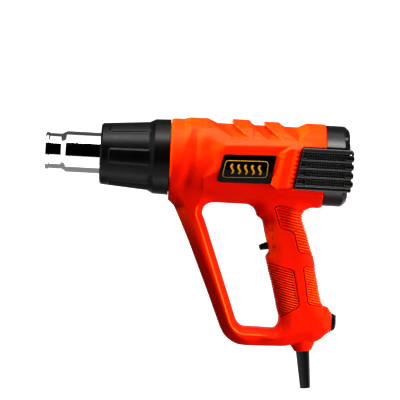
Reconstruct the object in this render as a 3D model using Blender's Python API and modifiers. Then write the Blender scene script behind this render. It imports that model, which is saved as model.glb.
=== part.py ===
"""Hot air gun with a closed D-handle, modelled as the separate pieces it is assembled from.

Tool coordinates are in millimetres: X runs back along the barrel from the seam between the front
collar and the housing, Z runs up from the barrel's axis, and Y is across the tool, with the
user's left at -Y. The empty "tool" carries everything, so that the world's origin is the middle
of the hand grip.
"""

import math

import bmesh
import bpy
from mathutils import Matrix, Vector

MM = 0.001

# Driving dimensions, in millimetres
GRIP_X, GRIP_Z = 113.0, -85.0     # middle of the hand grip, the world's origin
BARREL_R = 36.8                   # housing round the fan and motor
FRONT_R = 34.5                    # housing at the front seam
BARREL_END = 137.5                # rear seam, where the cap starts
TOP_FLOOR_R = 33.2                # floor of the recess under the top fins
WALL = 2.5                        # moulded wall
HALF_GAP = 0.15                   # each half stops this far from the parting plane
CLEAR = 0.3                       # gap between touching pieces
NOZZLE_TIP = -112.0
NOZZLE_R = 18.5
NOZZLE_TIP_R = 16.0
SHEET = 0.7                       # steel sheet of the nozzle
COLLAR_FRONT = -62.5
SPIGOT_R = 30.4                   # housing neck inside the collar
SPIGOT_FRONT = -9.0
SHROUD_R = 30.4
SHROUD_WALL = 1.8
MOTOR_R = 15.0
FAN_R = 27.4
FAN_BLADES = 7
SHAFT_R = 1.6
CAP_R = 36.2
CAP_END = 159.5
POD_BOTTOM, POD_TOP = -20.8, 16.6  # the side air intakes
POD_REAR = 162.5
POD_OUT = 42.0
GRILLE_ROWS = (8.8, 1.3, -6.2, -13.7)
SLOT_TILT = math.radians(16.7)    # front of the grip leans back by this
SWITCH_X, SWITCH_Z = 91.4, -74.8  # where the knob crosses the grip's front, at "0"
SWITCH_TRAVEL = 15.0
DIAL_X, DIAL_Z = 153.0, -141.0
DIAL_R = 8.1
BOOT_TILT = math.radians(7.2)
BOOT_TIP_X, BOOT_TIP_Z = 133.5, -202.0
BOOT_VISIBLE = 34.0
CORD_HOLE_R = 3.5
SCREWS = ((16.5, -45.0), (37.5, -95.0), (60.5, -151.0), (84.0, -157.2), (118.0, -56.0), (131.0, -98.0))
SCREW_HEAD_R = 3.0
SCREW_SHANK_R = 1.6
CAP_SCREW_R = 31.0                # distance of the rear cap's screws from the barrel's axis
CAP_SCREW_ANGLES = [math.radians(angle) for angle in (42, 138, 222, 318)]

# Sections of the D-frame, from the barrel round to the heel: outer point, inner point, half width
FRAME_STATIONS = (
    ((4, -20), (34, -20), 15.0),
    ((1.0, -35.5), (31.5, -34), 14.5),
    ((5.2, -43), (31.2, -44), 14.0),
    ((10.2, -53), (33.2, -53), 13.5),
    ((20, -75), (42, -73), 13.0),
    ((50, -143), (66.5, -139.5), 13.0),
    ((54.2, -152.3), (68.8, -144.8), 13.0),
    ((59.6, -159.6), (71.2, -147.4), 13.0),
    ((66.2, -163.9), (74, -148.7), 13.0),
    ((74.5, -165.3), (77.5, -149), 13.0),
    ((92, -165.2), (92, -149), 13.0),
    ((112, -164.4), (112, -148), 13.0),
)
# Sections of the grip, from the barrel down to the heel: front point, rear point, half width
GRIP_STATIONS = (
    ((77, -27), (136, -27), 17.0),
    ((79.3, -43), (126, -40.5), 16.5),
    ((80.8, -47.6), (122.6, -46.5), 16.5),
    ((85.4, -52), (123, -54), 16.5),
    ((88.3, -62), (127, -64), 16.5),
    ((93.3, -80), (132.8, -81), 16.8),
    ((90.6, -85.2), (134.4, -88), 17.0),
    ((97.4, -110), (140.3, -111), 17.2),
    ((103.4, -132), (145.2, -127), 17.2),
    ((105.4, -140), (150.2, -131.5), 17.2),
    ((105.4, -148), (151.8, -141), 17.2),
    ((104.8, -155), (150.2, -150), 17.2),
    ((106, -160.5), (147.4, -155.2), 16.0),
    ((110, -164.4), (141.5, -158.6), 13.0),
)

tool = None
made = {}


# ---------------------------------------------------------------- scene and materials

def clear_scene():
    for obj in list(bpy.data.objects):
        bpy.data.objects.remove(obj)


def collection(name):
    group = bpy.data.collections.new(name)
    bpy.context.scene.collection.children.link(group)
    return group


def material(name, colour, roughness, metallic=0.0):
    made_of = bpy.data.materials.new(name)
    made_of.use_nodes = True
    shader = made_of.node_tree.nodes["Principled BSDF"]
    shader.inputs["Base Color"].default_value = (*colour, 1.0)
    shader.inputs["Roughness"].default_value = roughness
    shader.inputs["Metallic"].default_value = metallic
    return made_of


def empty(name, x=0.0, y=0.0, z=0.0, pitch=0.0):
    """A frame inside the tool's own one, turned by pitch about Y."""
    frame = bpy.data.objects.new(name, None)
    parts.objects.link(frame)
    frame.parent = tool
    frame.location = (x * MM, y * MM, z * MM)
    frame.rotation_euler = (0, pitch, 0)
    return frame


def add(name, mesh, finish=None, parent=None, cutter=False):
    """An object for this mesh: a piece with a finish, or a cutter that isn't rendered."""
    obj = bpy.data.objects.new(name, mesh)
    (cutters if cutter else parts).objects.link(obj)
    obj.parent = parent or tool
    if cutter:
        obj.hide_render = True
        obj.display_type = "WIRE"
    else:
        mesh.materials.append(finish)
        made[name] = obj
    return obj


# ---------------------------------------------------------------- shapes

def turned_mesh(name, profile, steps):
    """Turned solid about local Z. Profile is (radius, height), down the outer side first."""
    mesh = bpy.data.meshes.new(name)
    points = [(radius * MM, 0.0, height * MM) for radius, height in profile]
    edges = [(i, i + 1) for i in range(len(points) - 1)]
    if profile[0][0] > 0:
        edges.append((len(points) - 1, 0))
    mesh.from_pydata(points, edges, [])
    helper = bpy.data.objects.new(name + "_helper", mesh)
    bpy.context.scene.collection.objects.link(helper)
    screw = helper.modifiers.new("Turn", "SCREW")
    screw.steps = screw.render_steps = steps
    screw.use_merge_vertices = True
    screw.merge_threshold = 0.00001
    screw.use_smooth_shade = False
    return evaluated_mesh(helper, name)


def evaluated_mesh(helper, name):
    """The mesh that the helper object evaluates to, welded. The helper is removed."""
    bpy.context.view_layer.update()
    graph = bpy.context.evaluated_depsgraph_get()
    mesh = bpy.data.meshes.new_from_object(helper.evaluated_get(graph))
    mesh.name = name
    place = helper.matrix_world.copy()
    bpy.data.objects.remove(helper)
    mesh.transform(place)
    soup = bmesh.new()
    soup.from_mesh(mesh)
    bmesh.ops.remove_doubles(soup, verts=soup.verts, dist=0.000005)
    soup.to_mesh(mesh)
    soup.free()
    return mesh


def turned(name, profile, finish=None, steps=48, parent=None, cutter=False):
    """Turned piece whose axis lies along the parent frame's X, so heights are places along X."""
    mesh = turned_mesh(name, profile, steps)
    mesh.transform(Matrix.Rotation(math.radians(90), 4, "Y"))
    smooth(mesh)
    return add(name, mesh, finish, parent, cutter)


def smooth(mesh):
    mesh.shade_smooth()
    mesh.set_sharp_from_angle(angle=math.radians(35))


def disc(outer, front, rear):
    """Profile of a solid cylinder."""
    return [(0, rear), (outer, rear), (outer, front), (0, front)]


def ring(outer, inner, front, rear):
    """Profile of a straight tube."""
    return [(outer, rear), (outer, front), (inner, front), (inner, rear)]


def box_mesh(name, low, high, bevel=0.0):
    mesh = bpy.data.meshes.new(name)
    soup = bmesh.new()
    size = [(b - a) * MM for a, b in zip(low, high)]
    middle = [(a + b) / 2 * MM for a, b in zip(low, high)]
    place = Matrix.Translation(middle) @ Matrix.Diagonal((*size, 1.0))
    bmesh.ops.create_cube(soup, size=1.0, matrix=place)
    if bevel:
        bmesh.ops.bevel(soup, geom=list(soup.edges), offset=bevel * MM, segments=1, affect="EDGES")
    soup.to_mesh(mesh)
    soup.free()
    return mesh


def box(name, low, high, finish=None, parent=None, bevel=0.0, cutter=False):
    return add(name, box_mesh(name, low, high, bevel), finish, parent, cutter)


def rounded(corners, step=math.radians(22)):
    """Closed outline from (x, z, radius) corners, each turned on its arc."""
    outline = []
    count = len(corners)
    for i, (x, z, radius) in enumerate(corners):
        here = Vector((x, z))
        if radius == 0:
            outline.append(here)
            continue
        back = (Vector(corners[i - 1][:2]) - here).normalized()
        ahead = (Vector(corners[(i + 1) % count][:2]) - here).normalized()
        turn = math.pi - back.angle(ahead)
        reach = radius * math.tan(turn / 2)
        centre = here + (back + ahead).normalized() * (radius / math.cos(turn / 2))
        start = here + back * reach - centre
        side = 1 if back.x * ahead.y - back.y * ahead.x < 0 else -1
        pieces = max(1, round(turn / step))
        for k in range(pieces + 1):
            angle = side * turn * k / pieces
            spun = Matrix.Rotation(angle, 2) @ start
            outline.append(centre + spun)
    return outline


def plate_mesh(name, outline, low_y, high_y, level=False):
    """Flat piece between two Y values, from a closed outline in X and Z. A level piece has its
    outline in X and Y, and lies between two Z values."""
    curve = bpy.data.curves.new(name, "CURVE")
    curve.dimensions = "2D"
    curve.fill_mode = "BOTH"
    curve.extrude = (high_y - low_y) / 2 * MM
    spline = curve.splines.new("POLY")
    spline.points.add(len(outline) - 1)
    for point, (x, z) in zip(spline.points, outline):
        point.co = (x * MM, z * MM, 0, 1)
    spline.use_cyclic_u = True
    helper = bpy.data.objects.new(name + "_helper", curve)
    bpy.context.scene.collection.objects.link(helper)
    if level:
        helper.location.z = (low_y + high_y) / 2 * MM
    else:
        helper.rotation_euler = (math.radians(90), 0, 0)
        helper.location.y = (low_y + high_y) / 2 * MM
    mesh = evaluated_mesh(helper, name)
    face_out(mesh)
    return mesh


def face_out(mesh):
    soup = bmesh.new()
    soup.from_mesh(mesh)
    bmesh.ops.recalc_face_normals(soup, faces=soup.faces)
    soup.to_mesh(mesh)
    soup.free()


def plate(name, outline, low_y, high_y, finish=None, parent=None, cutter=False):
    return add(name, plate_mesh(name, outline, low_y, high_y), finish, parent, cutter)


def wire(name, points, radius, finish, parent=None, resolution=1):
    """Round wire along points in millimetres, with closed ends."""
    curve = bpy.data.curves.new(name, "CURVE")
    curve.dimensions = "3D"
    curve.bevel_depth = radius * MM
    curve.bevel_resolution = resolution
    curve.use_fill_caps = True
    spline = curve.splines.new("POLY")
    spline.points.add(len(points) - 1)
    for point, place in zip(spline.points, points):
        point.co = (*(Vector(place) * MM), 1)
    helper = bpy.data.objects.new(name + "_helper", curve)
    bpy.context.scene.collection.objects.link(helper)
    mesh = evaluated_mesh(helper, name)
    face_out(mesh)
    return add(name, mesh, finish, parent)


def loft_mesh(name, stations, inset=0.0, sides=16, power=2.6):
    """Solid through superelliptic sections, each between an outer and an inner point."""
    soup = bmesh.new()
    rings = []
    for outer, inner, half_width in stations:
        outer, inner = Vector(outer), Vector(inner)
        middle = (outer + inner) / 2
        reach = (inner - outer) / 2
        reach = reach * ((reach.length - inset) / reach.length)
        points = []
        for k in range(sides):
            angle = 2 * math.pi * (k + 0.5) / sides
            c, s = math.cos(angle), math.sin(angle)
            along = math.copysign(abs(c) ** (2 / power), c)
            across = math.copysign(abs(s) ** (2 / power), s)
            # the half step leaves a facet, and not a corner, on each outermost point
            full = math.cos(math.pi / sides) ** (2 / power)
            spot = middle + reach * along / full
            side = across / full * (half_width - inset)
            points.append(soup.verts.new((spot.x * MM, side * MM, spot.y * MM)))
        rings.append(points)
    for one, two in zip(rings, rings[1:]):
        for k in range(sides):
            n = (k + 1) % sides
            soup.faces.new((one[k], one[n], two[n], two[k]))
    soup.faces.new(rings[0])
    soup.faces.new(reversed(rings[-1]))
    bmesh.ops.recalc_face_normals(soup, faces=soup.faces)
    mesh = bpy.data.meshes.new(name)
    soup.to_mesh(mesh)
    soup.free()
    return mesh


def combine(base, other, operation):
    """A Boolean modifier on base with another object."""
    modifier = base.modifiers.new(other.name, "BOOLEAN")
    modifier.operation = operation
    modifier.object = other
    modifier.solver = "MANIFOLD"
    return modifier


def cut(base, *others):
    for other in others:
        combine(base, other, "DIFFERENCE")


def join(base, *others):
    for other in others:
        combine(base, other, "UNION")


def copies(mesh, places):
    """One mesh with a copy at each of these matrices, which must not touch each other."""
    soup = bmesh.new()
    for place in places:
        before = set(soup.verts)
        soup.from_mesh(mesh)
        bmesh.ops.transform(soup, matrix=place, verts=[v for v in soup.verts if v not in before])
    result = bpy.data.meshes.new(mesh.name)
    soup.to_mesh(result)
    soup.free()
    return result


def merged(name, meshes):
    """One mesh holding several separate solids."""
    soup = bmesh.new()
    for mesh in meshes:
        soup.from_mesh(mesh)
    result = bpy.data.meshes.new(name)
    soup.to_mesh(result)
    soup.free()
    return result


def repeated(name, mesh, finish, places, parent=None):
    """One object for each place, numbered from 1. They share their mesh."""
    mesh.materials.append(finish)
    for number, place in enumerate(places, 1):
        obj = bpy.data.objects.new(f"{name}_{number}", mesh)
        parts.objects.link(obj)
        obj.parent = parent or tool
        obj.matrix_local = place


def across(x, y, z):
    """Places a turned mesh, whose axis is local Z, along Y at this point."""
    return Matrix.Translation((x * MM, y * MM, z * MM)) @ Matrix.Rotation(math.radians(-90), 4, "X")


def round_x(angle):
    """Turns about the barrel's axis."""
    return Matrix.Rotation(angle, 4, "X")


def side_of(y, side):
    """Orders a pair of distances from the middle plane for the left (-1) or right (1) side."""
    low, high = y
    return (low, high) if side > 0 else (-high, -low)


def shifted(stations, last=None):
    """The stations of a cavity, ending short of the outer skin where last is given."""
    return stations if last is None else stations[:-1] + (last,)


# ---------------------------------------------------------------- housing

POD_OUTLINE = ((117.0, 16.6), (160.5, 16.6), (162.5, 12.5), (162.5, -16.0), (160.5, -20.8), (110.6, -20.8))
FAIRING_OUTLINE = ((95, 9.5), (104, 16.5), (107, 17.2), (117, 17.5), (110.5, -22.3), (98, -22.8),
                   (95, -21.5), (90, -17.5))
PANEL_OUTLINE = ((33.5, -5.5), (38, 10), (42, 14), (112, 17.3), (110, -5.5))
BADGE_OUTLINE = ((47, 7.2, 2), (94, 8.5, 0.5), (89.5, -17.5, 0.5), (42, -18.5, 2))


def grown(outline, by):
    """Outline moved outwards by a distance, corner by corner."""
    grown_outline = []
    count = len(outline)
    area = sum(outline[i - 1][0] * outline[i][1] - outline[i][0] * outline[i - 1][1] for i in range(count))
    side = 1 if area > 0 else -1
    for i, corner in enumerate(outline):
        here = Vector(corner)
        back = (here - Vector(outline[i - 1])).normalized()
        ahead = (Vector(outline[(i + 1) % count]) - here).normalized()
        out = (Vector((back.y, -back.x)) + Vector((ahead.y, -ahead.x))).normalized() * side
        reach = by / max(0.3, abs(out.dot(Vector((back.y, -back.x)))))
        grown_outline.append(tuple(here + out * reach))
    return grown_outline


def barrel_profile(wall):
    """Outer skin of the barrel, or its cavity where wall is more than 0."""
    if wall:
        return [(0, BARREL_END + 1), (BARREL_R - wall, BARREL_END + 1), (BARREL_R - wall, 17),
                (FRONT_R - wall, 2), (SPIGOT_R - wall, 1), (SPIGOT_R - wall, SPIGOT_FRONT + 2.5),
                (0, SPIGOT_FRONT + 2.5)]
    return [(0, BARREL_END), (BARREL_R, BARREL_END), (BARREL_R, 17), (FRONT_R, 9), (FRONT_R, 0),
            (SPIGOT_R, 0), (SPIGOT_R, SPIGOT_FRONT), (0, SPIGOT_FRONT)]


def top_recess(name, inset):
    """What the recess round the top fins takes away: a slab above the recess's floor."""
    front, rear, ledge = 43 - inset, 115 + inset, 24 - inset
    outline = ((front - 5, 45), (front, ledge + 8), (front + 7, ledge), (rear - 2, ledge),
               (rear + 8, 45))
    slab = plate(name, outline, -45, 45, cutter=True)
    floor = turned(name + "_floor", disc(TOP_FLOOR_R - inset, 30, 130), cutter=True)
    cut(slab, floor)
    return slab


def fin(name, front):
    """Raised wave over the top recess, swept back towards its ends."""
    shape = ((front, 0), (front + 9, -27), (front + 19, -27), (front + 20, 0), (front + 19, 27),
             (front + 9, 27))
    wave = add(name, plate_mesh(name, shape, 20, 45, level=True), cutter=True)
    reach = turned(name + "_reach", [(0, front + 21), (TOP_FLOOR_R, front + 21), (37.6, front + 14),
                                     (37.6, front + 4), (TOP_FLOOR_R, front), (0, front)], cutter=True)
    combine(wave, reach, "INTERSECT")
    return wave


def cord_cone_profile():
    return [(0, 47), (11.4, 47), (11.4, 41.5), (7.6, BOOT_VISIBLE + CLEAR), (0, BOOT_VISIBLE + CLEAR)]


def outer_shape():
    """Everything inside the moulded housing's outer skin."""
    whole = turned("shell", barrel_profile(0), steps=48, cutter=True)
    cut(whole, top_recess("top_recess", 0))
    join(whole, fin("fin_front", 54.5), fin("fin_rear", 82.5))
    join(whole, add("frame_solid", loft_mesh("frame_solid", FRAME_STATIONS), cutter=True))
    join(whole, add("grip_solid", loft_mesh("grip_solid", GRIP_STATIONS), cutter=True))
    join(whole, turned("dial_boss", disc(9.2, 138, DIAL_X), steps=24, cutter=True, parent=dial_axis))
    join(whole, turned("cord_cone", cord_cone_profile(), steps=24, parent=boot_axis, cutter=True))
    for side, word in ((-1, "left"), (1, "right")):
        join(whole, plate("side_panel_" + word, PANEL_OUTLINE, *side_of((20, 36.2), side), cutter=True))
        fairing = plate("fairing_" + word, FAIRING_OUTLINE, *side_of((20, 39.6), side), cutter=True)
        join(whole, fairing)
    return whole


def inner_shape():
    """The room inside the housing's walls, round its screw posts."""
    room = turned("room", barrel_profile(WALL), steps=40, cutter=True)
    cut(room, top_recess("recess_under", 2.3))
    frame_room = FRAME_STATIONS[:-1] + (((112, -164.4), (112, -148), 13.0),)
    join(room, add("frame_room", loft_mesh("frame_room", frame_room, WALL), cutter=True))
    grip_room = GRIP_STATIONS[:-1] + (((109, -161.8), (143, -156.6), 15.0),)
    join(room, add("grip_room", loft_mesh("grip_room", grip_room, WALL), cutter=True))
    posts = copies(turned_mesh("posts", disc(4.0, -45, 45), 12), [across(x, 0, z) for x, z in SCREWS])
    cut(room, add("screw_posts", posts, cutter=True))
    rear_posts = turned_mesh("rear_posts", disc(3.6, 112, BARREL_END + 5), 10)
    rear_posts.transform(Matrix.Rotation(math.radians(90), 4, "Y"))
    lifted = Matrix.Translation((0, 0, CAP_SCREW_R * MM))
    rear_posts = copies(rear_posts, [round_x(angle) @ lifted for angle in CAP_SCREW_ANGLES])
    cut(room, add("cap_screw_posts", rear_posts, cutter=True))
    cut(room, turned("cord_post", cord_cone_profile(), steps=24, parent=boot_axis, cutter=True))
    return room


def housing():
    outer = outer_shape()
    room = inner_shape()
    tube_hole = turned("tube_hole", disc(NOZZLE_R + 0.6, -20, 30), cutter=True)
    dial_hole = turned("dial_hole", disc(3.4, 130, 170), steps=24, parent=dial_axis, cutter=True)
    boot_hole = turned("boot_hole", disc(5.9, 20, 60), steps=24, parent=boot_axis, cutter=True)
    track_pocket = box("track_pocket", (-6, -6.8, -6.3), (1.4, 6.8, 23.3), parent=switch_frame,
                       cutter=True)
    slot = box("switch_slot", (-6, -3.8, -3.9), (6, 3.8, SWITCH_TRAVEL + 3.9), parent=switch_frame,
               cutter=True)
    pilot = turned_mesh("pilot", disc(1.9, -9, 7.4), 8)
    well = turned_mesh("well", disc(SCREW_HEAD_R + 0.4, 6.7, 45), 12)
    pilots = add("screw_pilots", copies(pilot, [across(x, 0, z) for x, z in SCREWS]), cutter=True)
    wells = add("screw_wells", copies(well, [across(x, 0, z) for x, z in SCREWS]), cutter=True)
    rear_pilot = turned_mesh("rear_pilot", disc(1.6, 120, BARREL_END + 8), 8)
    rear_pilot.transform(Matrix.Rotation(math.radians(90), 4, "Y"))
    lifted = Matrix.Translation((0, 0, CAP_SCREW_R * MM))
    rear_pilots = add("cap_screw_pilots", copies(rear_pilot, [round_x(angle) @ lifted
                                                              for angle in CAP_SCREW_ANGLES]), cutter=True)
    for side, word in ((-1, "left"), (1, "right")):
        low, high = side_of((HALF_GAP, 60), side)
        half = box("housing_" + word, (-20, low, -190), (170, high, 60), abs_orange)
        combine(half, outer, "INTERSECT")
        pod = plate("pod_opening_" + word, grown(POD_OUTLINE, CLEAR), *side_of((31.1, 50), side), cutter=True)
        cut(half, room, tube_hole, dial_hole, boot_hole, track_pocket, slot, pilots, rear_pilots, pod)
        if side > 0:
            cut(half, wells)
        smooth(half.data)


def rear_cap():
    """Cup that closes the back of the barrel, notched on each side for the air intakes."""
    profile = [(0, CAP_END), (31, CAP_END), (35.6, 155.8), (CAP_R, 152), (CAP_R, BARREL_END + CLEAR),
               (33.9, BARREL_END + CLEAR), (33.9, 133.5), (31.9, 133.5), (31.9, 140), (33.7, 142),
               (33.7, 151), (29.5, CAP_END - 2.5), (0, CAP_END - 2.5)]
    cap = turned("rear_cap", profile, abs_black, steps=48)
    pods = merged("pod_notches", [plate_mesh("pod_notch", grown(POD_OUTLINE, CLEAR), *side_of((31.1, 50), side))
                                  for side in (-1, 1)])
    posts = turned_mesh("cap_post", disc(5.2, 130, BARREL_END + CLEAR), 10)
    holes = turned_mesh("cap_hole", disc(1.9, 130, 170), 8)
    wells = turned_mesh("cap_well", disc(SCREW_HEAD_R + 0.4, 147, 170), 10)
    cut(cap, add("pod_notches", pods, cutter=True))
    lifted = Matrix.Translation((0, 0, CAP_SCREW_R * MM))
    sleeve = turned_mesh("cap_sleeve", disc(5.0, BARREL_END + 2.3, 153), 10)
    for name, mesh in (("cap_sleeves", sleeve), ("cap_posts", posts), ("cap_holes", holes),
                       ("cap_wells", wells)):
        mesh.transform(Matrix.Rotation(math.radians(90), 4, "Y"))
        mesh = copies(mesh, [round_x(angle) @ lifted for angle in CAP_SCREW_ANGLES])
        tool_part = add(name, mesh, cutter=True)
        if name == "cap_sleeves":
            join(cap, tool_part)
        else:
            cut(cap, tool_part)


def collar():
    """Fixed heat guard round the root of the nozzle, with six long raised pads."""
    profile = [(30.9, -CLEAR), (34.0, -CLEAR), (33.6, -14), (30.7, -20), (27.4, -60.5), (25.6, COLLAR_FRONT),
               (NOZZLE_R + 0.7, COLLAR_FRONT), (NOZZLE_R + 0.7, -60), (24.6, -60), (27.9, -20),
               (27.9, SPIGOT_FRONT - 0.6), (30.9, SPIGOT_FRONT - 0.6)]
    guard = turned("front_collar", list(reversed(profile)), abs_black, steps=48)
    face_out(guard.data)
    reach = turned("pad_reach", [(0, -17.5), (31.9, -17.5), (28.8, -54.5), (27.2, -54.5), (0, -54.5)], cutter=True,
                   steps=48)
    core = turned("pad_core", disc(26.5, -70, 0), cutter=True)
    pad = box_mesh("pad", (-54.5, -6.2, 20), (-17.5, 6.2, 40))
    pads = add("pads", copies(pad, [round_x(math.radians(30 + 60 * k)) for k in range(6)]), cutter=True)
    combine(pads, reach, "INTERSECT")
    cut(pads, core)
    join(guard, pads)


def nozzle():
    """Drawn steel heater tube with a reduced, rolled mouth and a bead behind the bulkhead."""
    r, tip, t = NOZZLE_R, NOZZLE_TIP_R, SHEET
    profile = [(r, 19), (r, -2.6), (r + 2, -3.6), (r + 2, -4.8), (r, -5.8), (r, -93), (tip, -97.5),
               (tip, -107.6), (tip + 0.6, -108.4), (tip + 0.8, -110), (tip + 0.6, -111.5),
               (tip, NOZZLE_TIP), (tip - t, -111.4), (tip - t, -97.2), (r - t, -92.7), (r - t, 19)]
    turned("nozzle_tube", profile, steel, steps=36)
    turned("mica_liner", ring(r - t - 0.3, r - t - 0.8, -90, 17), mica, steps=36)


def heater():
    core = box("heater_core", (-84, -13, -0.6), (-3, 13, 0.6), mica)
    join(core, box("core_arm", (-84, -0.6, -13), (-3, 0.6, 13), cutter=True))
    coil = []
    turns, per_turn = 14, 10
    for i in range(turns * per_turn + 1):
        angle = 2 * math.pi * i / per_turn
        coil.append((-82 + 76 * i / (turns * per_turn), 14.3 * math.cos(angle), 14.3 * math.sin(angle)))
    wire("heating_coil", coil, 0.5, resistance_wire, resolution=0)
    base = turned("heater_base", disc(16.4, -2, 3), ceramic, steps=36)
    hole = turned_mesh("air_hole", disc(4.2, -6, 8), 12)
    hole.transform(Matrix.Rotation(math.radians(90), 4, "Y"))
    lifted = Matrix.Translation((0, 0, 10.2 * MM))
    cut(base, add("air_holes", copies(hole, [round_x(math.radians(60 * k)) @ lifted for k in range(6)]),
                  cutter=True))
    box("thermal_cutout", (18.5, -5, -31.6), (33, 5, -28.2), ceramic, bevel=0.6)


def blower():
    """Shroud, motor and fan. The shaft, rotor, commutator and fan turn together."""
    r = SHROUD_R
    profile = [(r, 107), (r, 45), (21.2, 22), (21.2, 12), (19.4, 12), (19.4, 21.5), (r - SHROUD_WALL, 45.5),
               (r - SHROUD_WALL, 107)]
    shroud = turned("fan_shroud", profile, nylon, steps=36)
    join(shroud, turned("cradle", ring(MOTOR_R + 2.2, MOTOR_R + CLEAR, 56, 84), steps=36, cutter=True))
    vane = box_mesh("vane", (58, -0.8, MOTOR_R + 1.3), (80, 0.8, r - 0.9))
    join(shroud, add("vanes", copies(vane, [round_x(math.radians(30 + 60 * k)) for k in range(6)]),
                     cutter=True))
    cut(shroud, box("cutout_seat", (17, -5.3, -34), (34, 5.3, -27.9), cutter=True))

    m = MOTOR_R
    turned("motor_can", [(m, 86), (m, 51), (5.3, 50), (5.3, 47), (3.4, 47), (3.4, 51.4), (m - 1.2, 52.2),
                         (m - 1.2, 86)], steel, steps=30)
    turned("motor_end_cap", [(m, 89), (m, 86 + CLEAR), (m - 1.5, 86 + CLEAR), (m - 1.5, 84), (4.4, 84),
                             (4.4, 86), (3.4, 86), (3.4, 89)], nylon, steps=30)
    arc = []
    for k in range(9):
        angle = math.radians(-62 + 124 * k / 8)
        arc.append(((m - 1.5) * math.cos(angle), (m - 1.5) * math.sin(angle)))
    for k in range(8, -1, -1):
        angle = math.radians(-62 + 124 * k / 8)
        arc.append(((m - 3.4) * math.cos(angle), (m - 3.4) * math.sin(angle)))
    magnet = plate_mesh("magnet", arc, 55, 78)
    magnet.transform(Matrix.Rotation(math.radians(-90), 4, "Z"))
    face_out(magnet)
    repeated("motor_magnet", magnet, ferrite, [round_x(0), round_x(math.pi)])
    for name, front in (("front_bearing", 47.4), ("rear_bearing", 86.4)):
        turned(name, ring(3.1, SHAFT_R + CLEAR, front, front + 2.4), bronze, steps=16)

    turned("motor_shaft", disc(SHAFT_R, 46, 104), steel, steps=20, parent=fan_axis)
    rotor = turned("motor_rotor", ring(10.6, SHAFT_R + CLEAR, 57, 76), laminations, steps=30,
                   parent=fan_axis)
    slot = box_mesh("rotor_slot", (50, -1.2, 6.5), (80, 1.2, 12))
    cut(rotor, add("rotor_slots", copies(slot, [round_x(math.radians(72 * k)) for k in range(5)]),
                   parent=fan_axis, cutter=True))
    windings = turned("motor_windings", ring(9.6, 5.2, 54.9, 56.7), copper, steps=30, parent=fan_axis)
    other_end = turned("winding_end", ring(9.6, 5.2, 76.3, 78.1), steps=30, parent=fan_axis, cutter=True)
    bar = box_mesh("winding_bar", (55.5, -0.8, 7.0), (77.5, 0.8, 9.2))
    bars = add("winding_bars", copies(bar, [round_x(math.radians(72 * k)) for k in range(5)]),
               parent=fan_axis, cutter=True)
    join(windings, bars, other_end)
    turned("commutator", ring(3.6, SHAFT_R + CLEAR, 79, 83.6), copper, steps=16, parent=fan_axis)
    turned("rectifier_board", ring(13, 4, 89.3, 90.7), board_green, steps=32)

    fan = turned("fan_impeller", [(8.2, 103), (8.2, 93.4), (6.6, 92), (SHAFT_R + CLEAR, 92),
                                  (SHAFT_R + CLEAR, 103)], nylon, steps=28, parent=fan_axis)
    blade = box_mesh("blade", (-6.4, -0.7, 6.8), (6.4, 0.7, FAN_R))
    blade.transform(Matrix.Translation((97.6 * MM, 0, 0)) @ Matrix.Rotation(math.radians(38), 4, "Z"))
    blades = add("blades", copies(blade, [round_x(2 * math.pi * k / FAN_BLADES)
                                          for k in range(FAN_BLADES)]), parent=fan_axis, cutter=True)
    join(fan, blades)


def intakes():
    """Slotted air intake on each side, with a dust screen behind its slots."""
    front_slope = (117.0 - 110.6) / (16.6 + 20.8)
    for side, word in ((-1, "left"), (1, "right")):
        grille = plate("intake_grille_" + word, POD_OUTLINE, *side_of((31.4, POD_OUT), side), gloss_black)
        hollow = plate("pod_hollow_" + word, grown(POD_OUTLINE, -2.0), *side_of((29, POD_OUT - 2), side),
                       cutter=True)
        windows = []
        for z in GRILLE_ROWS:
            front = 113.2 + (z + 20.8) * front_slope
            outline = ((front + 0.4, z + 2.4), (154, z + 2.4), (156, z), (154, z - 2.4),
                       (front - 0.4, z - 2.4))
            windows.append(plate_mesh("window", outline, *side_of((POD_OUT - 4, POD_OUT + 4), side)))
        cut(grille, hollow, add("windows_" + word, merged("windows", windows), cutter=True))
        screen = box("dust_screen_" + word, (119.5, side_of((38.3, 39.5), side)[0], -18.2),
                     (157.5, side_of((38.3, 39.5), side)[1], 14.1), mesh_black)
        holes = []
        for z in GRILLE_ROWS:
            for k in range(7):
                x = 121.0 + 5.0 * k
                low, high = side_of((37, 41), side)
                holes.append(box_mesh("hole", (x, low, z - 2), (x + 3.6, high, z + 2)))
        cut(screen, add("screen_holes_" + word, merged("screen_holes", holes), cutter=True))


def badges():
    """Thin plates on the sides of the barrel, following its curve."""
    outline = rounded(BADGE_OUTLINE)
    for side, word in ((-1, "left"), (1, "right")):
        badge = plate("badge_" + word, outline, *side_of((20, 45), side), gloss_black)
        reach = turned("badge_reach_" + word, disc(38.1, 30, 110), steps=96, cutter=True)
        combine(badge, reach, "INTERSECT")
        bed = turned("badge_bed_" + word, disc(BARREL_R + CLEAR, 25, 120), steps=96, cutter=True)
        pad = plate("badge_pad_" + word, grown(PANEL_OUTLINE, 3), *side_of((15, 36.5), side), cutter=True)
        cut(badge, bed, pad)
        smooth(badge.data)


# ---------------------------------------------------------------- controls, board and cord entry

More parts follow.
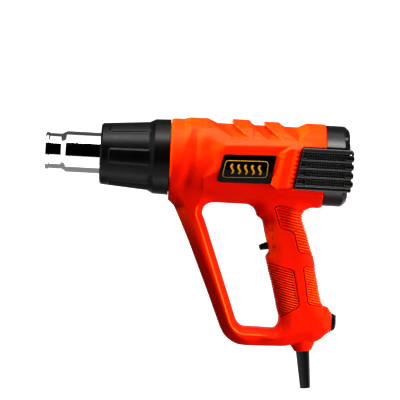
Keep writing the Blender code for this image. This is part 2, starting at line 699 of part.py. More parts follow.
def controls():
    plate_outline = rounded(((-0.6, -5.9, 0.2), (1.1, -5.9, 0.2), (1.1, 22.9, 0.2), (-0.6, 22.9, 0.2)))
    track = plate("switch_track", plate_outline, -6.4, 6.4, abs_black, parent=switch_frame)
    slot = box("track_slot", (-3, -3.7, -3.9), (3, 3.7, SWITCH_TRAVEL + 3.9), parent=switch_frame,
               cutter=True)
    cut(track, slot)
    knob_outline = rounded(((-7.4, -2.6, 0.8), (-6.6, 2.4, 0.9), (-1.0, 3.4, 0.4), (5.0, 3.4, 0), (5.0, -3.4, 0),
                            (-1.0, -3.4, 0.4)))
    knob = plate("switch_knob", knob_outline, -3.3, 3.3, abs_black, parent=switch_frame)
    shutter = box("knob_shutter", (4.4, -5.8, -11), (5.4, 5.8, 11), parent=switch_frame, cutter=True)
    join(knob, shutter)
    box("switch_body", (6.4, -8.5, -12), (19, 8.5, 24), nylon, parent=switch_frame, bevel=0.8)

    dial = [(0, 157.6), (4.6, 157.6), (7.2, 156.5), (DIAL_R, 154.8), (DIAL_R, DIAL_X + CLEAR),
            (3.0, DIAL_X + CLEAR), (3.0, 146.2), (0, 146.2)]
    dial_mesh = turned("temperature_dial", dial, abs_black, steps=24, parent=dial_axis)
    pointer = box("dial_pointer", (155.0, -0.7, 2.5), (157.9, 0.7, 7.4), parent=dial_axis, cutter=True)
    join(dial_mesh, pointer)
    pot = box("potentiometer", (137.4, -7.5, DIAL_Z - 7.5), (145.9, 7.5, DIAL_Z + 7.5), nylon, bevel=0.6)
    smooth(pot.data)

    box("control_board", (107, 4.2, -129), (132, 5.8, -104), board_green)
    fins = [(113, -127), (127, -127), (127, -106), (113, -106)]
    sink = plate("triac_heatsink", fins, 6.1, 11.6, aluminium)
    gaps = [box_mesh("gap", (110, 8, z), (130, 14, z + 2.0)) for z in (-124.9, -120.3, -115.7, -111.1)]
    cut(sink, add("sink_gaps", merged("sink_gaps", gaps), cutter=True))
    turned_can = turned_mesh("suppressor", [(0, 10), (4.8, 10), (4.8, -10), (0, -10)], 20)
    turned_can.transform(Matrix.Translation((102 * MM, 0, -156.8 * MM)) @ Matrix.Rotation(math.radians(90), 4, "Y"))
    smooth(turned_can)
    add("suppressor", turned_can, capacitor_foil)


def cord_entry():
    """Moulded strain relief, its clamp and the wires that leave it inside the heel."""
    h = BOOT_VISIBLE
    profile = [(8.4, 50.2), (8.4, 47.4), (5.5, 47.4), (5.5, h + 0.2), (6.25, h), (4.65, 1.2), (4.2, 0),
               (CORD_HOLE_R, 0), (CORD_HOLE_R, 50.2)]
    turned("cord_boot", profile, rubber, steps=24, parent=boot_axis)
    clamp = box("cord_clamp", (51.0, -10.5, -3.5), (54.5, 10.5, 3.5), nylon, parent=boot_axis, bevel=0.5)
    cut(clamp, box("clamp_arch", (49, -3.4, -5), (52.6, 3.4, 5), parent=boot_axis, cutter=True))
    places = [boot_place(y) for y in (-7.4, 7.4)]
    screw = turned_mesh("clamp_screw", [(0, 57.0), (2.6, 57.0), (2.6, 54.8), (1.2, 54.8), (1.2, 51.6),
                                        (0, 51.6)], 12)
    screw.transform(Matrix.Rotation(math.radians(90), 4, "Y"))
    smooth(screw)
    repeated("cord_clamp_screw", screw, steel, places, boot_axis)
    hole = turned_mesh("clamp_hole", disc(1.5, 45, 60), 12)
    hole.transform(Matrix.Rotation(math.radians(90), 4, "Y"))
    cut(clamp, add("clamp_holes", copies(hole, places), parent=boot_axis, cutter=True))


def boot_place(y):
    return Matrix.Translation((0, y * MM, 0))


def screws():
    profile = [(0, 9.4), (SCREW_HEAD_R, 9.4), (SCREW_HEAD_R, 7.0), (SCREW_SHANK_R, 7.0),
               (SCREW_SHANK_R, -8.4), (0, -8.4)]
    screw = turned_mesh("housing_screw", profile, 12)
    smooth(screw)
    repeated("housing_screw", screw, steel, [across(x, 0, z) for x, z in SCREWS])
    profile = [(0, 149.6), (SCREW_HEAD_R, 149.6), (SCREW_HEAD_R, 147.3), (SCREW_SHANK_R - 0.3, 147.3),
               (SCREW_SHANK_R - 0.3, 124), (0, 124)]
    screw = turned_mesh("cap_screw", profile, 12)
    screw.transform(Matrix.Rotation(math.radians(90), 4, "Y"))
    smooth(screw)
    lifted = Matrix.Translation((0, 0, CAP_SCREW_R * MM))
    repeated("cap_screw", screw, steel, [round_x(angle) @ lifted for angle in CAP_SCREW_ANGLES])


def leads():
    """Supply wires from the cord entry to the switch, and the heater's pair along the shroud."""
    up = [(126.2, -4, -144.6), (121.5, -6.5, -139), (114, -6.5, -132), (110, -6.5, -112), (104.6, -5, -91)]
    wire("supply_leads", up, 1.1, wire_brown)
    on = [(104.5, -4, -44.2), (107, -3, -40), (108.6, -2.5, -36.5), (104, -2, -32.6), (40, -2, -32.6),
          (34.5, -2, -30.6)]
    wire("heater_lead", on, 0.9, wire_blue)


clear_scene()
parts = collection("hot_air_gun")
cutters = collection("cutters")
tool = bpy.data.objects.new("tool", None)
parts.objects.link(tool)
tool.location = (-GRIP_X * MM, 0, -GRIP_Z * MM)

abs_orange = material("moulded orange ABS", (0.9, 0.07, 0.005), 0.42)
abs_black = material("moulded black ABS", (0.02, 0.02, 0.02), 0.45)
gloss_black = material("glossy black plastic", (0.012, 0.012, 0.012), 0.2)
nylon = material("glass filled nylon", (0.06, 0.06, 0.065), 0.5)
steel = material("stainless steel", (0.6, 0.6, 0.6), 0.2, 1.0)
mica = material("mica sheet", (0.62, 0.55, 0.42), 0.55)
ceramic = material("steatite ceramic", (0.8, 0.76, 0.68), 0.6)
resistance_wire = material("resistance wire", (0.32, 0.3, 0.28), 0.45, 1.0)
ferrite = material("ferrite magnet", (0.05, 0.05, 0.05), 0.7)
bronze = material("sintered bronze", (0.45, 0.27, 0.1), 0.45, 1.0)
laminations = material("steel laminations", (0.3, 0.3, 0.31), 0.5, 1.0)
copper = material("enamelled copper", (0.6, 0.2, 0.08), 0.35, 1.0)
board_green = material("circuit board", (0.02, 0.12, 0.05), 0.5)
aluminium = material("extruded aluminium", (0.7, 0.7, 0.71), 0.4, 1.0)
capacitor_foil = material("capacitor sleeve", (0.5, 0.4, 0.05), 0.4)
mesh_black = material("black wire cloth", (0.02, 0.02, 0.02), 0.5)
rubber = material("black rubber", (0.015, 0.015, 0.015), 0.7)
wire_brown = material("brown wire sheath", (0.12, 0.04, 0.02), 0.5)
wire_blue = material("blue wire sheath", (0.02, 0.08, 0.4), 0.5)

dial_axis = empty("dial_axis", z=DIAL_Z)
fan_axis = empty("fan_axis")
switch_frame = empty("switch_slide", SWITCH_X, 0, SWITCH_Z, -SLOT_TILT)
boot_axis = empty("boot_axis", BOOT_TIP_X, 0, BOOT_TIP_Z, -math.radians(90) - BOOT_TILT)

housing()
rear_cap()
collar()
nozzle()
heater()
blower()
intakes()
badges()
controls()
cord_entry()
screws()
leads()
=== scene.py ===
import math

import bmesh
import bpy
import numpy as np
from mathutils import Matrix, Vector


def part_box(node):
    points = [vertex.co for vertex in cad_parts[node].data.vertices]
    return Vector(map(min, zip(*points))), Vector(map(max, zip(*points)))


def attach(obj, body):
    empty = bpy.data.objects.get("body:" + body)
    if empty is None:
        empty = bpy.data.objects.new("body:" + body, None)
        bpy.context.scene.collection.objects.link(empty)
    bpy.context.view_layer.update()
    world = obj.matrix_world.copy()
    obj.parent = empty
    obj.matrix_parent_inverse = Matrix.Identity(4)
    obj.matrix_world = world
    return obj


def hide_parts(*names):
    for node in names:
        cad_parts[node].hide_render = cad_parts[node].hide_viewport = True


# Hot air gun with a D-handle. Lengths are in mm from the tool's own zero, the point on the
# barrel's axis at the seam behind the black collar: x back, z up, y across. The left side is -y.
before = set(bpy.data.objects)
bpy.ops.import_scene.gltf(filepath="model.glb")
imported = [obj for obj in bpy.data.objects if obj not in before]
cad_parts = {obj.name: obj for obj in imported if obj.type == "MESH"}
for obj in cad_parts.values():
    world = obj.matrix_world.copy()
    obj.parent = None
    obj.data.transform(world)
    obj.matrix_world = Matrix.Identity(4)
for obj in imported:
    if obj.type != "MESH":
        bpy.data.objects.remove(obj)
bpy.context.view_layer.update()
collarLow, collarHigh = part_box("front_collar")
toolZero = np.array([collarHigh.x + 0.0003, 0.0, (collarLow.z + collarHigh.z) / 2])
print("frame loaded, tool zero at", [round(float(v), 4) for v in toolZero])


def linearColour(hexText):
    parts = [int(hexText[i:i + 2], 16) / 255 for i in (0, 2, 4)]
    return tuple(v / 12.92 if v <= 0.04045 else ((v + 0.055) / 1.055) ** 2.4 for v in parts) + (1.0,)


def addNode(tree, kind, settings=None, links=None):
    node = tree.nodes.new("ShaderNode" + kind)
    for name, value in (settings or {}).items():
        if isinstance(name, int) or name in node.inputs:
            node.inputs[name].default_value = value
        else:
            setattr(node, name, value)
    for name, source in (links or {}).items():
        # a node stands for its first output
        tree.links.new(getattr(source, "outputs", [source])[0], node.inputs[name])
    return node


def scaleFor(sizeMm):
    return 1000.0 / sizeMm        # object coordinates are metres, so this repeats every sizeMm


def newMaterial(name):
    made = bpy.data.materials.new(name)
    made.use_nodes = True
    tree = made.node_tree
    tree.nodes.clear()
    shader = addNode(tree, "BsdfPrincipled")
    addNode(tree, "OutputMaterial", links={"Surface": shader.outputs["BSDF"]})
    place = addNode(tree, "TexCoord").outputs["Object"]
    return made, tree, shader, place


def dress(tree, shader, colour, roughness, strength, distance, height):
    tree.links.new(colour, shader.inputs["Base Color"])
    tree.links.new(roughness.outputs[0], shader.inputs["Roughness"])
    bump = addNode(tree, "Bump", {"Strength": strength, "Distance": distance}, {"Height": height})
    tree.links.new(bump.outputs[0], shader.inputs["Normal"])


# Materials, each named for what the real one is, except one darker orange for painted shade. Most plastics share
# these settings
usualPlastic = {"edgeWearAndHighlight": 0.3, "speck": 0.1, "grainMm": 0.5, "bump": 0.1, "ior": 1.53, "specular": 0.5}


def mouldedPlastic(name, look):
    # Injection moulded: a fine spark-eroded grain, slow flow marks in the colour, edges paler from handling and as
    # painted highlight
    made, tree, shader, place = newMaterial(name)
    look = {**usualPlastic, **look}
    colour, shade, edge = [linearColour(look[part]) for part in ("colour", "shade", "edge")]
    flow = addNode(tree, "TexNoise", {"Scale": scaleFor(look["flowMm"]), "Detail": 3.0}, {"Vector": place})
    flow = addNode(tree, "MapRange", {"From Min": 0.3, "From Max": 0.7}, {"Value": flow})
    grain = addNode(tree, "TexNoise", {"Scale": scaleFor(look["grainMm"]), "Detail": 2.0, "Roughness": 0.6},
                    {"Vector": place})
    speck = addNode(tree, "MapRange", {"From Min": 0.45, "From Max": 0.75, "To Max": look["speck"]},
                    {"Value": grain})
    rubbed = addNode(tree, "TexNoise", {"Scale": scaleFor(9.0), "Detail": 5.0}, {"Vector": place})
    patches = addNode(tree, "MapRange", {"From Min": 0.35, "From Max": 0.6, "To Min": 0.3}, {"Value": rubbed})
    # Sharp edges turn paler, partly from handling and partly as painted highlight
    corner = addNode(tree, "NewGeometry").outputs["Pointiness"]
    corner = addNode(tree, "MapRange", {"From Min": 0.53, "From Max": 0.62, "To Max": look["edgeWearAndHighlight"]},
                     {"Value": corner})
    wearAndHighlight = addNode(tree, "Math", {"operation": "MULTIPLY"}, {0: corner, 1: patches})
    body = addNode(tree, "Mix", {"data_type": "RGBA", 6: colour, 7: shade}, {0: flow}).outputs[2]
    body = addNode(tree, "Mix", {"data_type": "RGBA", 7: edge}, {0: speck, 6: body}).outputs[2]
    body = addNode(tree, "Mix", {"data_type": "RGBA", 7: edge}, {0: wearAndHighlight, 6: body}).outputs[2]
    if look.get("recessShade"):
        # Painted shade: grooves, hollows and slots are darkened by the recess attribute
        deep = addNode(tree, "Attribute", {"attribute_name": "recess"}).outputs["Fac"]
        deep = addNode(tree, "MapRange", {"From Min": 0.4, "To Max": 0.8}, {"Value": deep})
        # dust is the darker colour of this painted shade
        dust = linearColour(look["recessShade"])
        body = addNode(tree, "Mix", {"data_type": "RGBA", 7: dust}, {0: deep, 6: body}).outputs[2]
        # and painted highlight from the crease attribute: the hand opening's crease, the palm side's rib crests, the
        # intake's hood lips, top bar and bottom edge
        crease = addNode(tree, "Attribute", {"attribute_name": "crease"}).outputs["Fac"]
        crease = addNode(tree, "MapRange", {"To Max": 0.7}, {"Value": crease})
        body = addNode(tree, "Mix", {"data_type": "RGBA", 7: edge}, {0: crease, 6: body}).outputs[2]
    gloss = addNode(tree, "MapRange", {"From Min": 0.3, "From Max": 0.7, "To Min": look["rough"] - 0.05,
                                       "To Max": look["rough"] + 0.05}, {"Value": rubbed})
    dress(tree, shader, body, gloss, look["bump"], look["grainMm"] * 0.00025, grain)
    shader.inputs["IOR"].default_value = look["ior"]
    shader.inputs["Specular IOR Level"].default_value = look["specular"]
    return made


def drawnMetal(name, look):
    # Drawn or turned: fine rings round the axis, a slow heat or handling mark, otherwise bright
    made, tree, shader, place = newMaterial(name)
    stretched = addNode(tree, "Mapping", {"Scale": look["grainScale"]}, {"Vector": place})
    lines = addNode(tree, "TexNoise", {"Scale": 1.0, "Detail": 3.0}, {"Vector": stretched})
    marks = addNode(tree, "TexNoise", {"Scale": scaleFor(14.0), "Detail": 4.0}, {"Vector": place})
    marks = addNode(tree, "MapRange", {"From Min": 0.35, "From Max": 0.75}, {"Value": marks})
    body = addNode(tree, "Mix", {"data_type": "RGBA", 6: linearColour(look["colour"]),
                                 7: linearColour(look["shade"])}, {0: marks}).outputs[2]
    gloss = addNode(tree, "MapRange", {"From Min": 0.3, "From Max": 0.7, "To Min": look["rough"] * 0.6,
                                       "To Max": look["rough"] * 1.5}, {"Value": lines})
    dress(tree, shader, body, gloss, look["bump"], 0.00002, lines)
    shader.inputs["Metallic"].default_value = 1.0
    return made


def mineral(name, look):
    # Pressed or fired stock: cloudy colour, dry surface, small pits or flakes
    made, tree, shader, place = newMaterial(name)
    cloud = addNode(tree, "TexNoise", {"Scale": scaleFor(look["cloudMm"]), "Detail": 6.0}, {"Vector": place})
    cloud = addNode(tree, "MapRange", {"From Min": 0.3, "From Max": 0.7}, {"Value": cloud})
    flake = addNode(tree, "TexVoronoi", {"Scale": scaleFor(look["flakeMm"])}, {"Vector": place})
    body = addNode(tree, "Mix", {"data_type": "RGBA", 6: linearColour(look["colour"]),
                                 7: linearColour(look["shade"])}, {0: cloud}).outputs[2]
    gloss = addNode(tree, "MapRange", {"To Min": look["rough"] - 0.12, "To Max": look["rough"] + 0.1},
                    {"Value": flake})
    dress(tree, shader, body, gloss, 0.35, 0.0001, flake)
    return made


orangeAbs = mouldedPlastic("moulded orange ABS", {
    "colour": "EC2600", "shade": "E42000", "edge": "FF8C3C", "edgeWearAndHighlight": 0.35, "speck": 0.03,
    "recessShade": "A41000", "flowMm": 38, "bump": 0.12, "rough": 0.46, "specular": 0.08})
blackAbs = mouldedPlastic("textured black ABS", {
    "colour": "0E0D0C", "shade": "0B0A09", "edge": "5A5A58", "edgeWearAndHighlight": 0.2, "speck": 0.08,
    "flowMm": 25, "grainMm": 0.6, "bump": 0.35, "rough": 0.36, "specular": 0.28})
capAbs = mouldedPlastic("polished black ABS", {
    "colour": "0E0D0C", "shade": "0B0A09", "edge": "6A6A68", "edgeWearAndHighlight": 0.25, "speck": 0.05,
    "flowMm": 25, "grainMm": 0.6, "bump": 0.2, "rough": 0.3, "specular": 0.6})
screenNylon = mouldedPlastic("grey nylon dust screen", {
    "colour": "565655", "shade": "494948", "edge": "8A8A8A", "recessShade": "050505",
    "flowMm": 6, "rough": 0.4})
# Darker orange for the raised switch marks: painted shade in place of the shadows round an embossed mark
paintedShadeOrange = mouldedPlastic("orange ABS darkened for painted shade", {
    "colour": "A01C04", "shade": "8A1402", "edge": "F05020",
    "flowMm": 4, "rough": 0.5, "specular": 0.2})
grilleAbs = mouldedPlastic("satin black ABS", {
    "colour": "151412", "shade": "100F0E", "edge": "74726F", "edgeWearAndHighlight": 0.12, "speck": 0.04,
    "recessShade": "070606", "flowMm": 20, "grainMm": 0.4, "bump": 0.12, "rough": 0.3, "specular": 0.85})
glossBlack = mouldedPlastic("gloss black acrylic lacquer", {
    "colour": "110E09", "shade": "0D0B07", "edge": "2A2620", "edgeWearAndHighlight": 0.2, "speck": 0.0,
    "flowMm": 30, "grainMm": 1.5, "bump": 0.03, "rough": 0.2, "ior": 1.49, "specular": 0.22})
softPvc = mouldedPlastic("soft black PVC", {
    "colour": "15110F", "shade": "100D0C", "edge": "3A3633", "speck": 0.03,
    "flowMm": 12, "bump": 0.08, "rough": 0.36})
goldInk = mouldedPlastic("gold foil print", {
    "colour": "FFC020", "shade": "F6AE14", "edge": "FFD650", "edgeWearAndHighlight": 0.4, "speck": 0.08,
    "flowMm": 8, "grainMm": 0.3, "rough": 0.35, "ior": 1.5})
nylonDark = mouldedPlastic("glass filled nylon", {
    "colour": "43423F", "shade": "383734", "edge": "77746C", "speck": 0.15,
    "flowMm": 6, "grainMm": 0.4, "bump": 0.3, "rough": 0.5, "specular": 0.4})
boardGreen = mouldedPlastic("solder resist on glass epoxy", {
    "colour": "1C6B33", "shade": "15582A", "edge": "9BB48A",
    "flowMm": 3, "bump": 0.2, "rough": 0.35, "ior": 1.55})
foilYellow = mouldedPlastic("polyester capacitor sleeve", {
    "colour": "B99A2C", "shade": "A58721", "edge": "E2CB6A", "speck": 0.05,
    "flowMm": 5, "grainMm": 0.4, "bump": 0.05, "rough": 0.3, "ior": 1.58})
brownPvc = mouldedPlastic("brown PVC wire sheath", {
    "colour": "5B2F1C", "shade": "4C2616", "edge": "8A5A40", "edgeWearAndHighlight": 0.2, "speck": 0.02,
    "flowMm": 6, "grainMm": 0.4, "bump": 0.05, "rough": 0.4})
bluePvc = mouldedPlastic("blue PVC wire sheath", {
    "colour": "2548A8", "shade": "1D3B92", "edge": "6C87C8", "edgeWearAndHighlight": 0.2, "speck": 0.02,
    "flowMm": 6, "grainMm": 0.4, "bump": 0.05, "rough": 0.4})
brightSteel = drawnMetal("bright drawn stainless steel", {
    "colour": "F2F2F0", "shade": "E6E4DF", "rough": 0.07, "bump": 0.25, "grainScale": (3500, 90, 90)})
plainSteel = drawnMetal("zinc plated steel", {
    "colour": "8F9091", "shade": "7C7B76", "rough": 0.34, "bump": 0.4, "grainScale": (2000, 700, 700)})
wireAlloy = drawnMetal("oxidised nickel chrome wire", {
    "colour": "8A817A", "shade": "665B54", "rough": 0.4, "bump": 0.4, "grainScale": (1500, 1500, 1500)})
oilBronze = drawnMetal("sintered oil bronze", {
    "colour": "B98850", "shade": "9C6C3A", "rough": 0.42, "bump": 0.8, "grainScale": (2500, 2500, 2500)})
stackedSteel = drawnMetal("stacked motor laminations", {
    "colour": "8D9093", "shade": "6F7173", "rough": 0.4, "bump": 1.0, "grainScale": (2000, 40, 40)})
enamelledCopper = drawnMetal("enamelled copper", {
    "colour": "B9602F", "shade": "9C4A22", "rough": 0.3, "bump": 1.0, "grainScale": (300, 2500, 2500)})
extrudedAluminium = drawnMetal("extruded aluminium", {
    "colour": "D2D3D5", "shade": "BEBFC2", "rough": 0.32, "bump": 0.5, "grainScale": (100, 2500, 2500)})
micaSheet = mineral("phlogopite mica sheet", {
    "colour": "C9B896", "shade": "A8946C", "rough": 0.45, "cloudMm": 12, "flakeMm": 1.6})
firedSteatite = mineral("fired steatite", {
    "colour": "E6DDC9", "shade": "D8CDB4", "rough": 0.6, "cloudMm": 8, "flakeMm": 0.5})
pressedFerrite = mineral("pressed ferrite", {
    "colour": "3A3A3C", "shade": "2C2C2E", "rough": 0.7, "cloudMm": 6, "flakeMm": 0.7})

finishes = (
    (orangeAbs, "housing_left housing_right"), (blackAbs, "front_collar temperature_dial"),
    (capAbs, "rear_cap"),
    (brightSteel, "nozzle_tube"), (micaSheet, "mica_liner heater_core"), (wireAlloy, "heating_coil"),
    (firedSteatite, "heater_base thermal_cutout"), (pressedFerrite, "motor_magnet_1 motor_magnet_2"),
    (nylonDark, "fan_shroud motor_end_cap fan_impeller switch_body potentiometer cord_clamp"),
    (oilBronze, "front_bearing rear_bearing"), (stackedSteel, "motor_rotor"),
    (enamelledCopper, "motor_windings commutator"), (boardGreen, "rectifier_board control_board"),
    (grilleAbs, "intake_grille_left intake_grille_right switch_track switch_knob"),
    (screenNylon, "dust_screen_left dust_screen_right"), (glossBlack, "badge_left badge_right"),
    (extrudedAluminium, "triac_heatsink"), (foilYellow, "suppressor"), (softPvc, "cord_boot"),
    (brownPvc, "supply_leads"), (bluePvc, "heater_lead"))
finishOfNode = {node: finish for finish, nodes in finishes for node in nodes.split()}
for nodeName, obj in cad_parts.items():
    finish = finishOfNode.get(nodeName, plainSteel)      # the rest are plain steel
    if not obj.material_slots:
        obj.data.materials.append(finish)
    for materialSlot in obj.material_slots:
        materialSlot.material = finish
print("materials made:", len(bpy.data.materials))


# Shape helpers: soft joins of distance fields, outlines, and the mesh that follows a field

def smoothStep(low, high, value):
    t = np.clip((value - low) / (high - low), 0, 1)
    return t * t * (3 - 2 * t)


def inAll(*fields):
    # Inside every one of the fields
    whole = fields[0]
    for field in fields[1:]:
        whole = np.maximum(whole, field)
    return whole


def softMin(a, b, blend):
    h = np.clip(0.5 + 0.5 * (b - a) / blend, 0, 1)
    return b + (a - b) * h - blend * h * (1 - h)


def softMax(a, b, blend):
    return -softMin(-a, -b, blend)


def drawnCurve(points, perSpan=4):
    # Closed curve through the points
    p = np.array(points, float)
    out = []
    for i in range(len(p)):
        a, b, c, d = p[i - 1], p[i], p[(i + 1) % len(p)], p[(i + 2) % len(p)]
        for k in range(perSpan):
            t = k / perSpan
            out.append(0.5 * (2 * b + (c - a) * t + (2 * a - 5 * b + 4 * c - d) * t * t
                              + (3 * b - a - 3 * c + d) * t ** 3))
    return np.array(out)


def roundedPath(corners, closed=True, steps=5):
    # Corners are (a, b) or (a, b, radius); each radius becomes a short arc
    out = []
    count = len(corners)
    for i, corner in enumerate(corners):
        radius = corner[2] if len(corner) > 2 else 0
        if radius <= 0 or (not closed and i in (0, count - 1)):
            out.append(corner[:2])
            continue
        here = Vector(corner[:2])
        back = Vector(corners[i - 1][:2]) - here
        ahead = Vector(corners[(i + 1) % count][:2]) - here
        half = back.angle(ahead) / 2
        cutLength = min(radius / math.tan(half), 0.49 * back.length, 0.49 * ahead.length)
        start, end = here + back.normalized() * cutLength, here + ahead.normalized() * cutLength
        for k in range(steps + 1):
            t = k / steps
            out.append(tuple(start * (1 - t) ** 2 + here * 2 * t * (1 - t) + end * t * t))
    return np.array(out, float)


class Outline:
    # Distance to a closed outline, negative inside, looked up from a grid of half millimetres
    def __init__(self, points, margin=14.0, step=0.5):
        p = np.asarray(points, float)
        self.low, self.step = p.min(0) - margin, step
        size = np.ceil((p.max(0) + margin - self.low) / step).astype(int) + 1
        x, z = np.meshgrid(self.low[0] + step * np.arange(size[0]),
                           self.low[1] + step * np.arange(size[1]), indexing="ij")
        nearest = np.full(x.shape, 1e9)
        inside = np.zeros(x.shape, bool)
        for (ax, az), (bx, bz) in zip(p, np.roll(p, -1, 0)):
            dx, dz = bx - ax, bz - az
            along = np.clip(((x - ax) * dx + (z - az) * dz) / max(dx * dx + dz * dz, 1e-9), 0, 1)
            nearest = np.minimum(nearest, (x - ax - along * dx) ** 2 + (z - az - along * dz) ** 2)
            if az != bz:
                inside ^= ((az > z) != (bz > z)) & (x < ax + (z - az) / (bz - az) * dx)
        self.grid = (np.sqrt(nearest) * np.where(inside, -1, 1)).astype(np.float32)

    def at(self, x, z):
        u = np.clip((x - self.low[0]) / self.step, 0, self.grid.shape[0] - 1.001)
        v = np.clip((z - self.low[1]) / self.step, 0, self.grid.shape[1] - 1.001)
        i, j = u.astype(int), v.astype(int)
        s, t = (u - i).astype(np.float32), (v - j).astype(np.float32)
        g = self.grid
        return (g[i, j] * (1 - s) * (1 - t) + g[i + 1, j] * s * (1 - t)
                + g[i, j + 1] * (1 - s) * t + g[i + 1, j + 1] * s * t)


def sampled(field, low, high, step):
    axes = [np.arange(low[k], high[k] + step, step, dtype=np.float32) for k in range(3)]
    x, y, z = np.meshgrid(*axes, indexing="ij")
    return field(x, y, z).astype(np.float32)


def surfaceNet(values, low, step):
    # One point in every cell that the surface crosses, joined by a quad at every crossed edge
    shape = np.array(values.shape)
    cells, places, quads = [], [], []
    for axis in range(3):
        u, v = (axis + 1) % 3, (axis + 2) % 3
        first = [slice(None)] * 3
        second = [slice(None)] * 3
        first[axis], second[axis] = slice(0, -1), slice(1, None)
        a, b = values[tuple(first)], values[tuple(second)]
        crossed = np.argwhere((a < 0) != (b < 0))
        va, vb = a[tuple(crossed.T)], b[tuple(crossed.T)]
        place = crossed.astype(float)
        place[:, axis] += va / (va - vb)
        ring, whole = [], np.ones(len(crossed), bool)
        for du, dv in ((0, 0), (1, 0), (1, 1), (0, 1)):
            cell = crossed.copy()
            cell[:, u] -= du
            cell[:, v] -= dv
            ok = np.all((cell >= 0) & (cell < shape - 1), axis=1)
            flat = (cell[:, 0] * shape[1] + cell[:, 1]) * shape[2] + cell[:, 2]
            cells.append(flat[ok])
            places.append(place[ok])
            ring.append(flat)
            whole &= ok
        quad = np.stack(ring, 1)
        quad[va >= 0] = quad[va >= 0][:, ::-1]
        quads.append(quad[whole])
    cells, places, quads = np.concatenate(cells), np.concatenate(places), np.concatenate(quads)
    names, which = np.unique(cells, return_inverse=True)
    which = which.ravel()
    total = np.bincount(which).astype(float)
    points = np.stack([np.bincount(which, places[:, k]) / total for k in range(3)], 1)
    return points * step + np.array(low), np.searchsorted(names, quads)


def slopeOf(field, points, reach=0.12):
    value = field(*points.T)
    slope = np.stack([field(*(points + np.eye(3)[k] * reach).T) - field(*(points - np.eye(3)[k] * reach).T)
                      for k in range(3)], 1) / (2 * reach)
    return value, slope


def settle(field, points, rounds=2, pinned=None):
    # Walks the points onto the surface and gives the outward direction at each
    for _ in range(rounds):
        value, slope = slopeOf(field, points)
        if pinned is not None:
            slope[pinned, 1] = 0
        stepBy = value[:, None] * slope / np.maximum((slope ** 2).sum(1), 0.2)[:, None]
        points = points - np.clip(stepBy, -0.35, 0.35)
    _, slope = slopeOf(field, points)
    if pinned is not None:
        slope[pinned, 1] = 0
    return points, slope / np.maximum(np.linalg.norm(slope, axis=1), 1e-6)[:, None]


def rawMesh(name, points, *faceGroups):
    mesh = bpy.data.meshes.new(name)
    groups = [np.asarray(g, int) for g in faceGroups if len(g)]
    loops = np.concatenate([g.ravel() for g in groups])
    sizes = np.concatenate([np.full(len(g), g.shape[1]) for g in groups])
    starts = np.concatenate([[0], np.cumsum(sizes)[:-1]])
    mesh.vertices.add(len(points))
    mesh.vertices.foreach_set("co", points.ravel())
    mesh.loops.add(len(loops))
    mesh.loops.foreach_set("vertex_index", loops)
    mesh.polygons.add(len(sizes))
    mesh.polygons.foreach_set("loop_start", starts)
    mesh.update(calc_edges=True)
    return mesh


def meshFrom(name, points, *faceGroups):
    mesh = rawMesh(name, np.asarray(points) * 0.001 + toolZero, *faceGroups)
    mesh.validate()
    mesh.polygons.foreach_set("use_smooth", np.ones(len(mesh.polygons), bool))
    return mesh


def place(name, mesh, finish, body, slot, *replaced):
    piece = bpy.data.objects.new(name, mesh)
    bpy.context.scene.collection.objects.link(piece)
    mesh.materials.append(finish)
    (orangeSet if finish in (orangeAbs, paintedShadeOrange) else restSet).objects.link(piece)
    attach(piece, body)
    if replaced:
        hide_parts(*replaced)
    return piece


def tint(mesh, recess, crease):
    # Hands the finish its painted shade in hollows and its painted highlights on edges, point by point
    for word, values in (("recess", recess), ("crease", crease)):
        layer = mesh.attributes.new(word, "FLOAT", "POINT")
        layer.data.foreach_set("value", np.clip(values, 0, 1).astype(np.float32))


def flipped(points, faces, side):
    # Fields are drawn for +y, so the left half is their mirror image
    if side > 0:
        return points, faces
    return points * np.array([1, -1, 1]), [f[:, ::-1] for f in faces]


def sidewaysOf(path, closed):
    # The direction across a path at each of its points
    ahead, back = np.roll(path, -1, 0), np.roll(path, 1, 0)
    if not closed:
        ahead[-1], back[0] = path[-1], path[0]
    way = ahead - back
    way /= np.maximum(np.linalg.norm(way, axis=1), 1e-9)[:, None]
    return np.stack([-way[:, 1], way[:, 0]], 1)


def gridQuads(rows, around, closed):
    i, j = np.meshgrid(np.arange(rows if closed else rows - 1), np.arange(around), indexing="ij")
    i2, j2 = (i + 1) % rows, (j + 1) % around
    return np.stack([i * around + j, i2 * around + j, i2 * around + j2, i * around + j2], 2).reshape(-1, 4)


def turnedSkin(profile, steps, relief=None, closed=True):
    # A profile of (along x, radius) turned round the x axis, pushed in by relief(along, angle)
    p = np.asarray(profile, float)
    out = sidewaysOf(p, closed)
    angle = np.arange(steps) * 2 * math.pi / steps
    along = p[:, :1] + np.zeros(steps)
    radius = p[:, 1:] + np.zeros(steps)
    if relief is not None:
        depth = relief(along, angle[None, :] + 0 * along, out[:, 1:] + 0 * along)
        along = along - depth * out[:, :1]
        radius = radius - depth * out[:, 1:]
    points = np.stack([along, radius * np.sin(angle), radius * np.cos(angle)], 2).reshape(-1, 3)
    return points, gridQuads(len(p), steps, closed)


def turnedPiece(name, look, spacing, finish, body, slot, replaced, relief=None, closed=True, arc=5, put=None):
    path = evenly(roundedPath(look["skin"], closed=closed, steps=arc), spacing, closed=closed)
    points, quads = turnedSkin(path, look["steps"], relief, closed)
    if put is not None:
        points = put(points)
    place(name, meshFrom(name, points, quads), finish, body, slot, replaced)


def evenly(path, spacing, closed=False):
    # The same path with no span longer than spacing
    p = [np.array(q, float) for q in path]
    if closed:
        p.append(p[0])
    out = []
    for a, b in zip(p, p[1:]):
        count = max(1, int(np.ceil(np.linalg.norm(b - a) / spacing)))
        out += [a + (b - a) * k / count for k in range(count)]
    if not closed:
        out.append(p[-1])
    return np.array(out)


view = {"target": (-0.084, 0.0, 0.048), "distance": 2.0, "azimuth": 1.0, "elevation": 3.75,
        "roll": 3.2, "lens": 200.0}


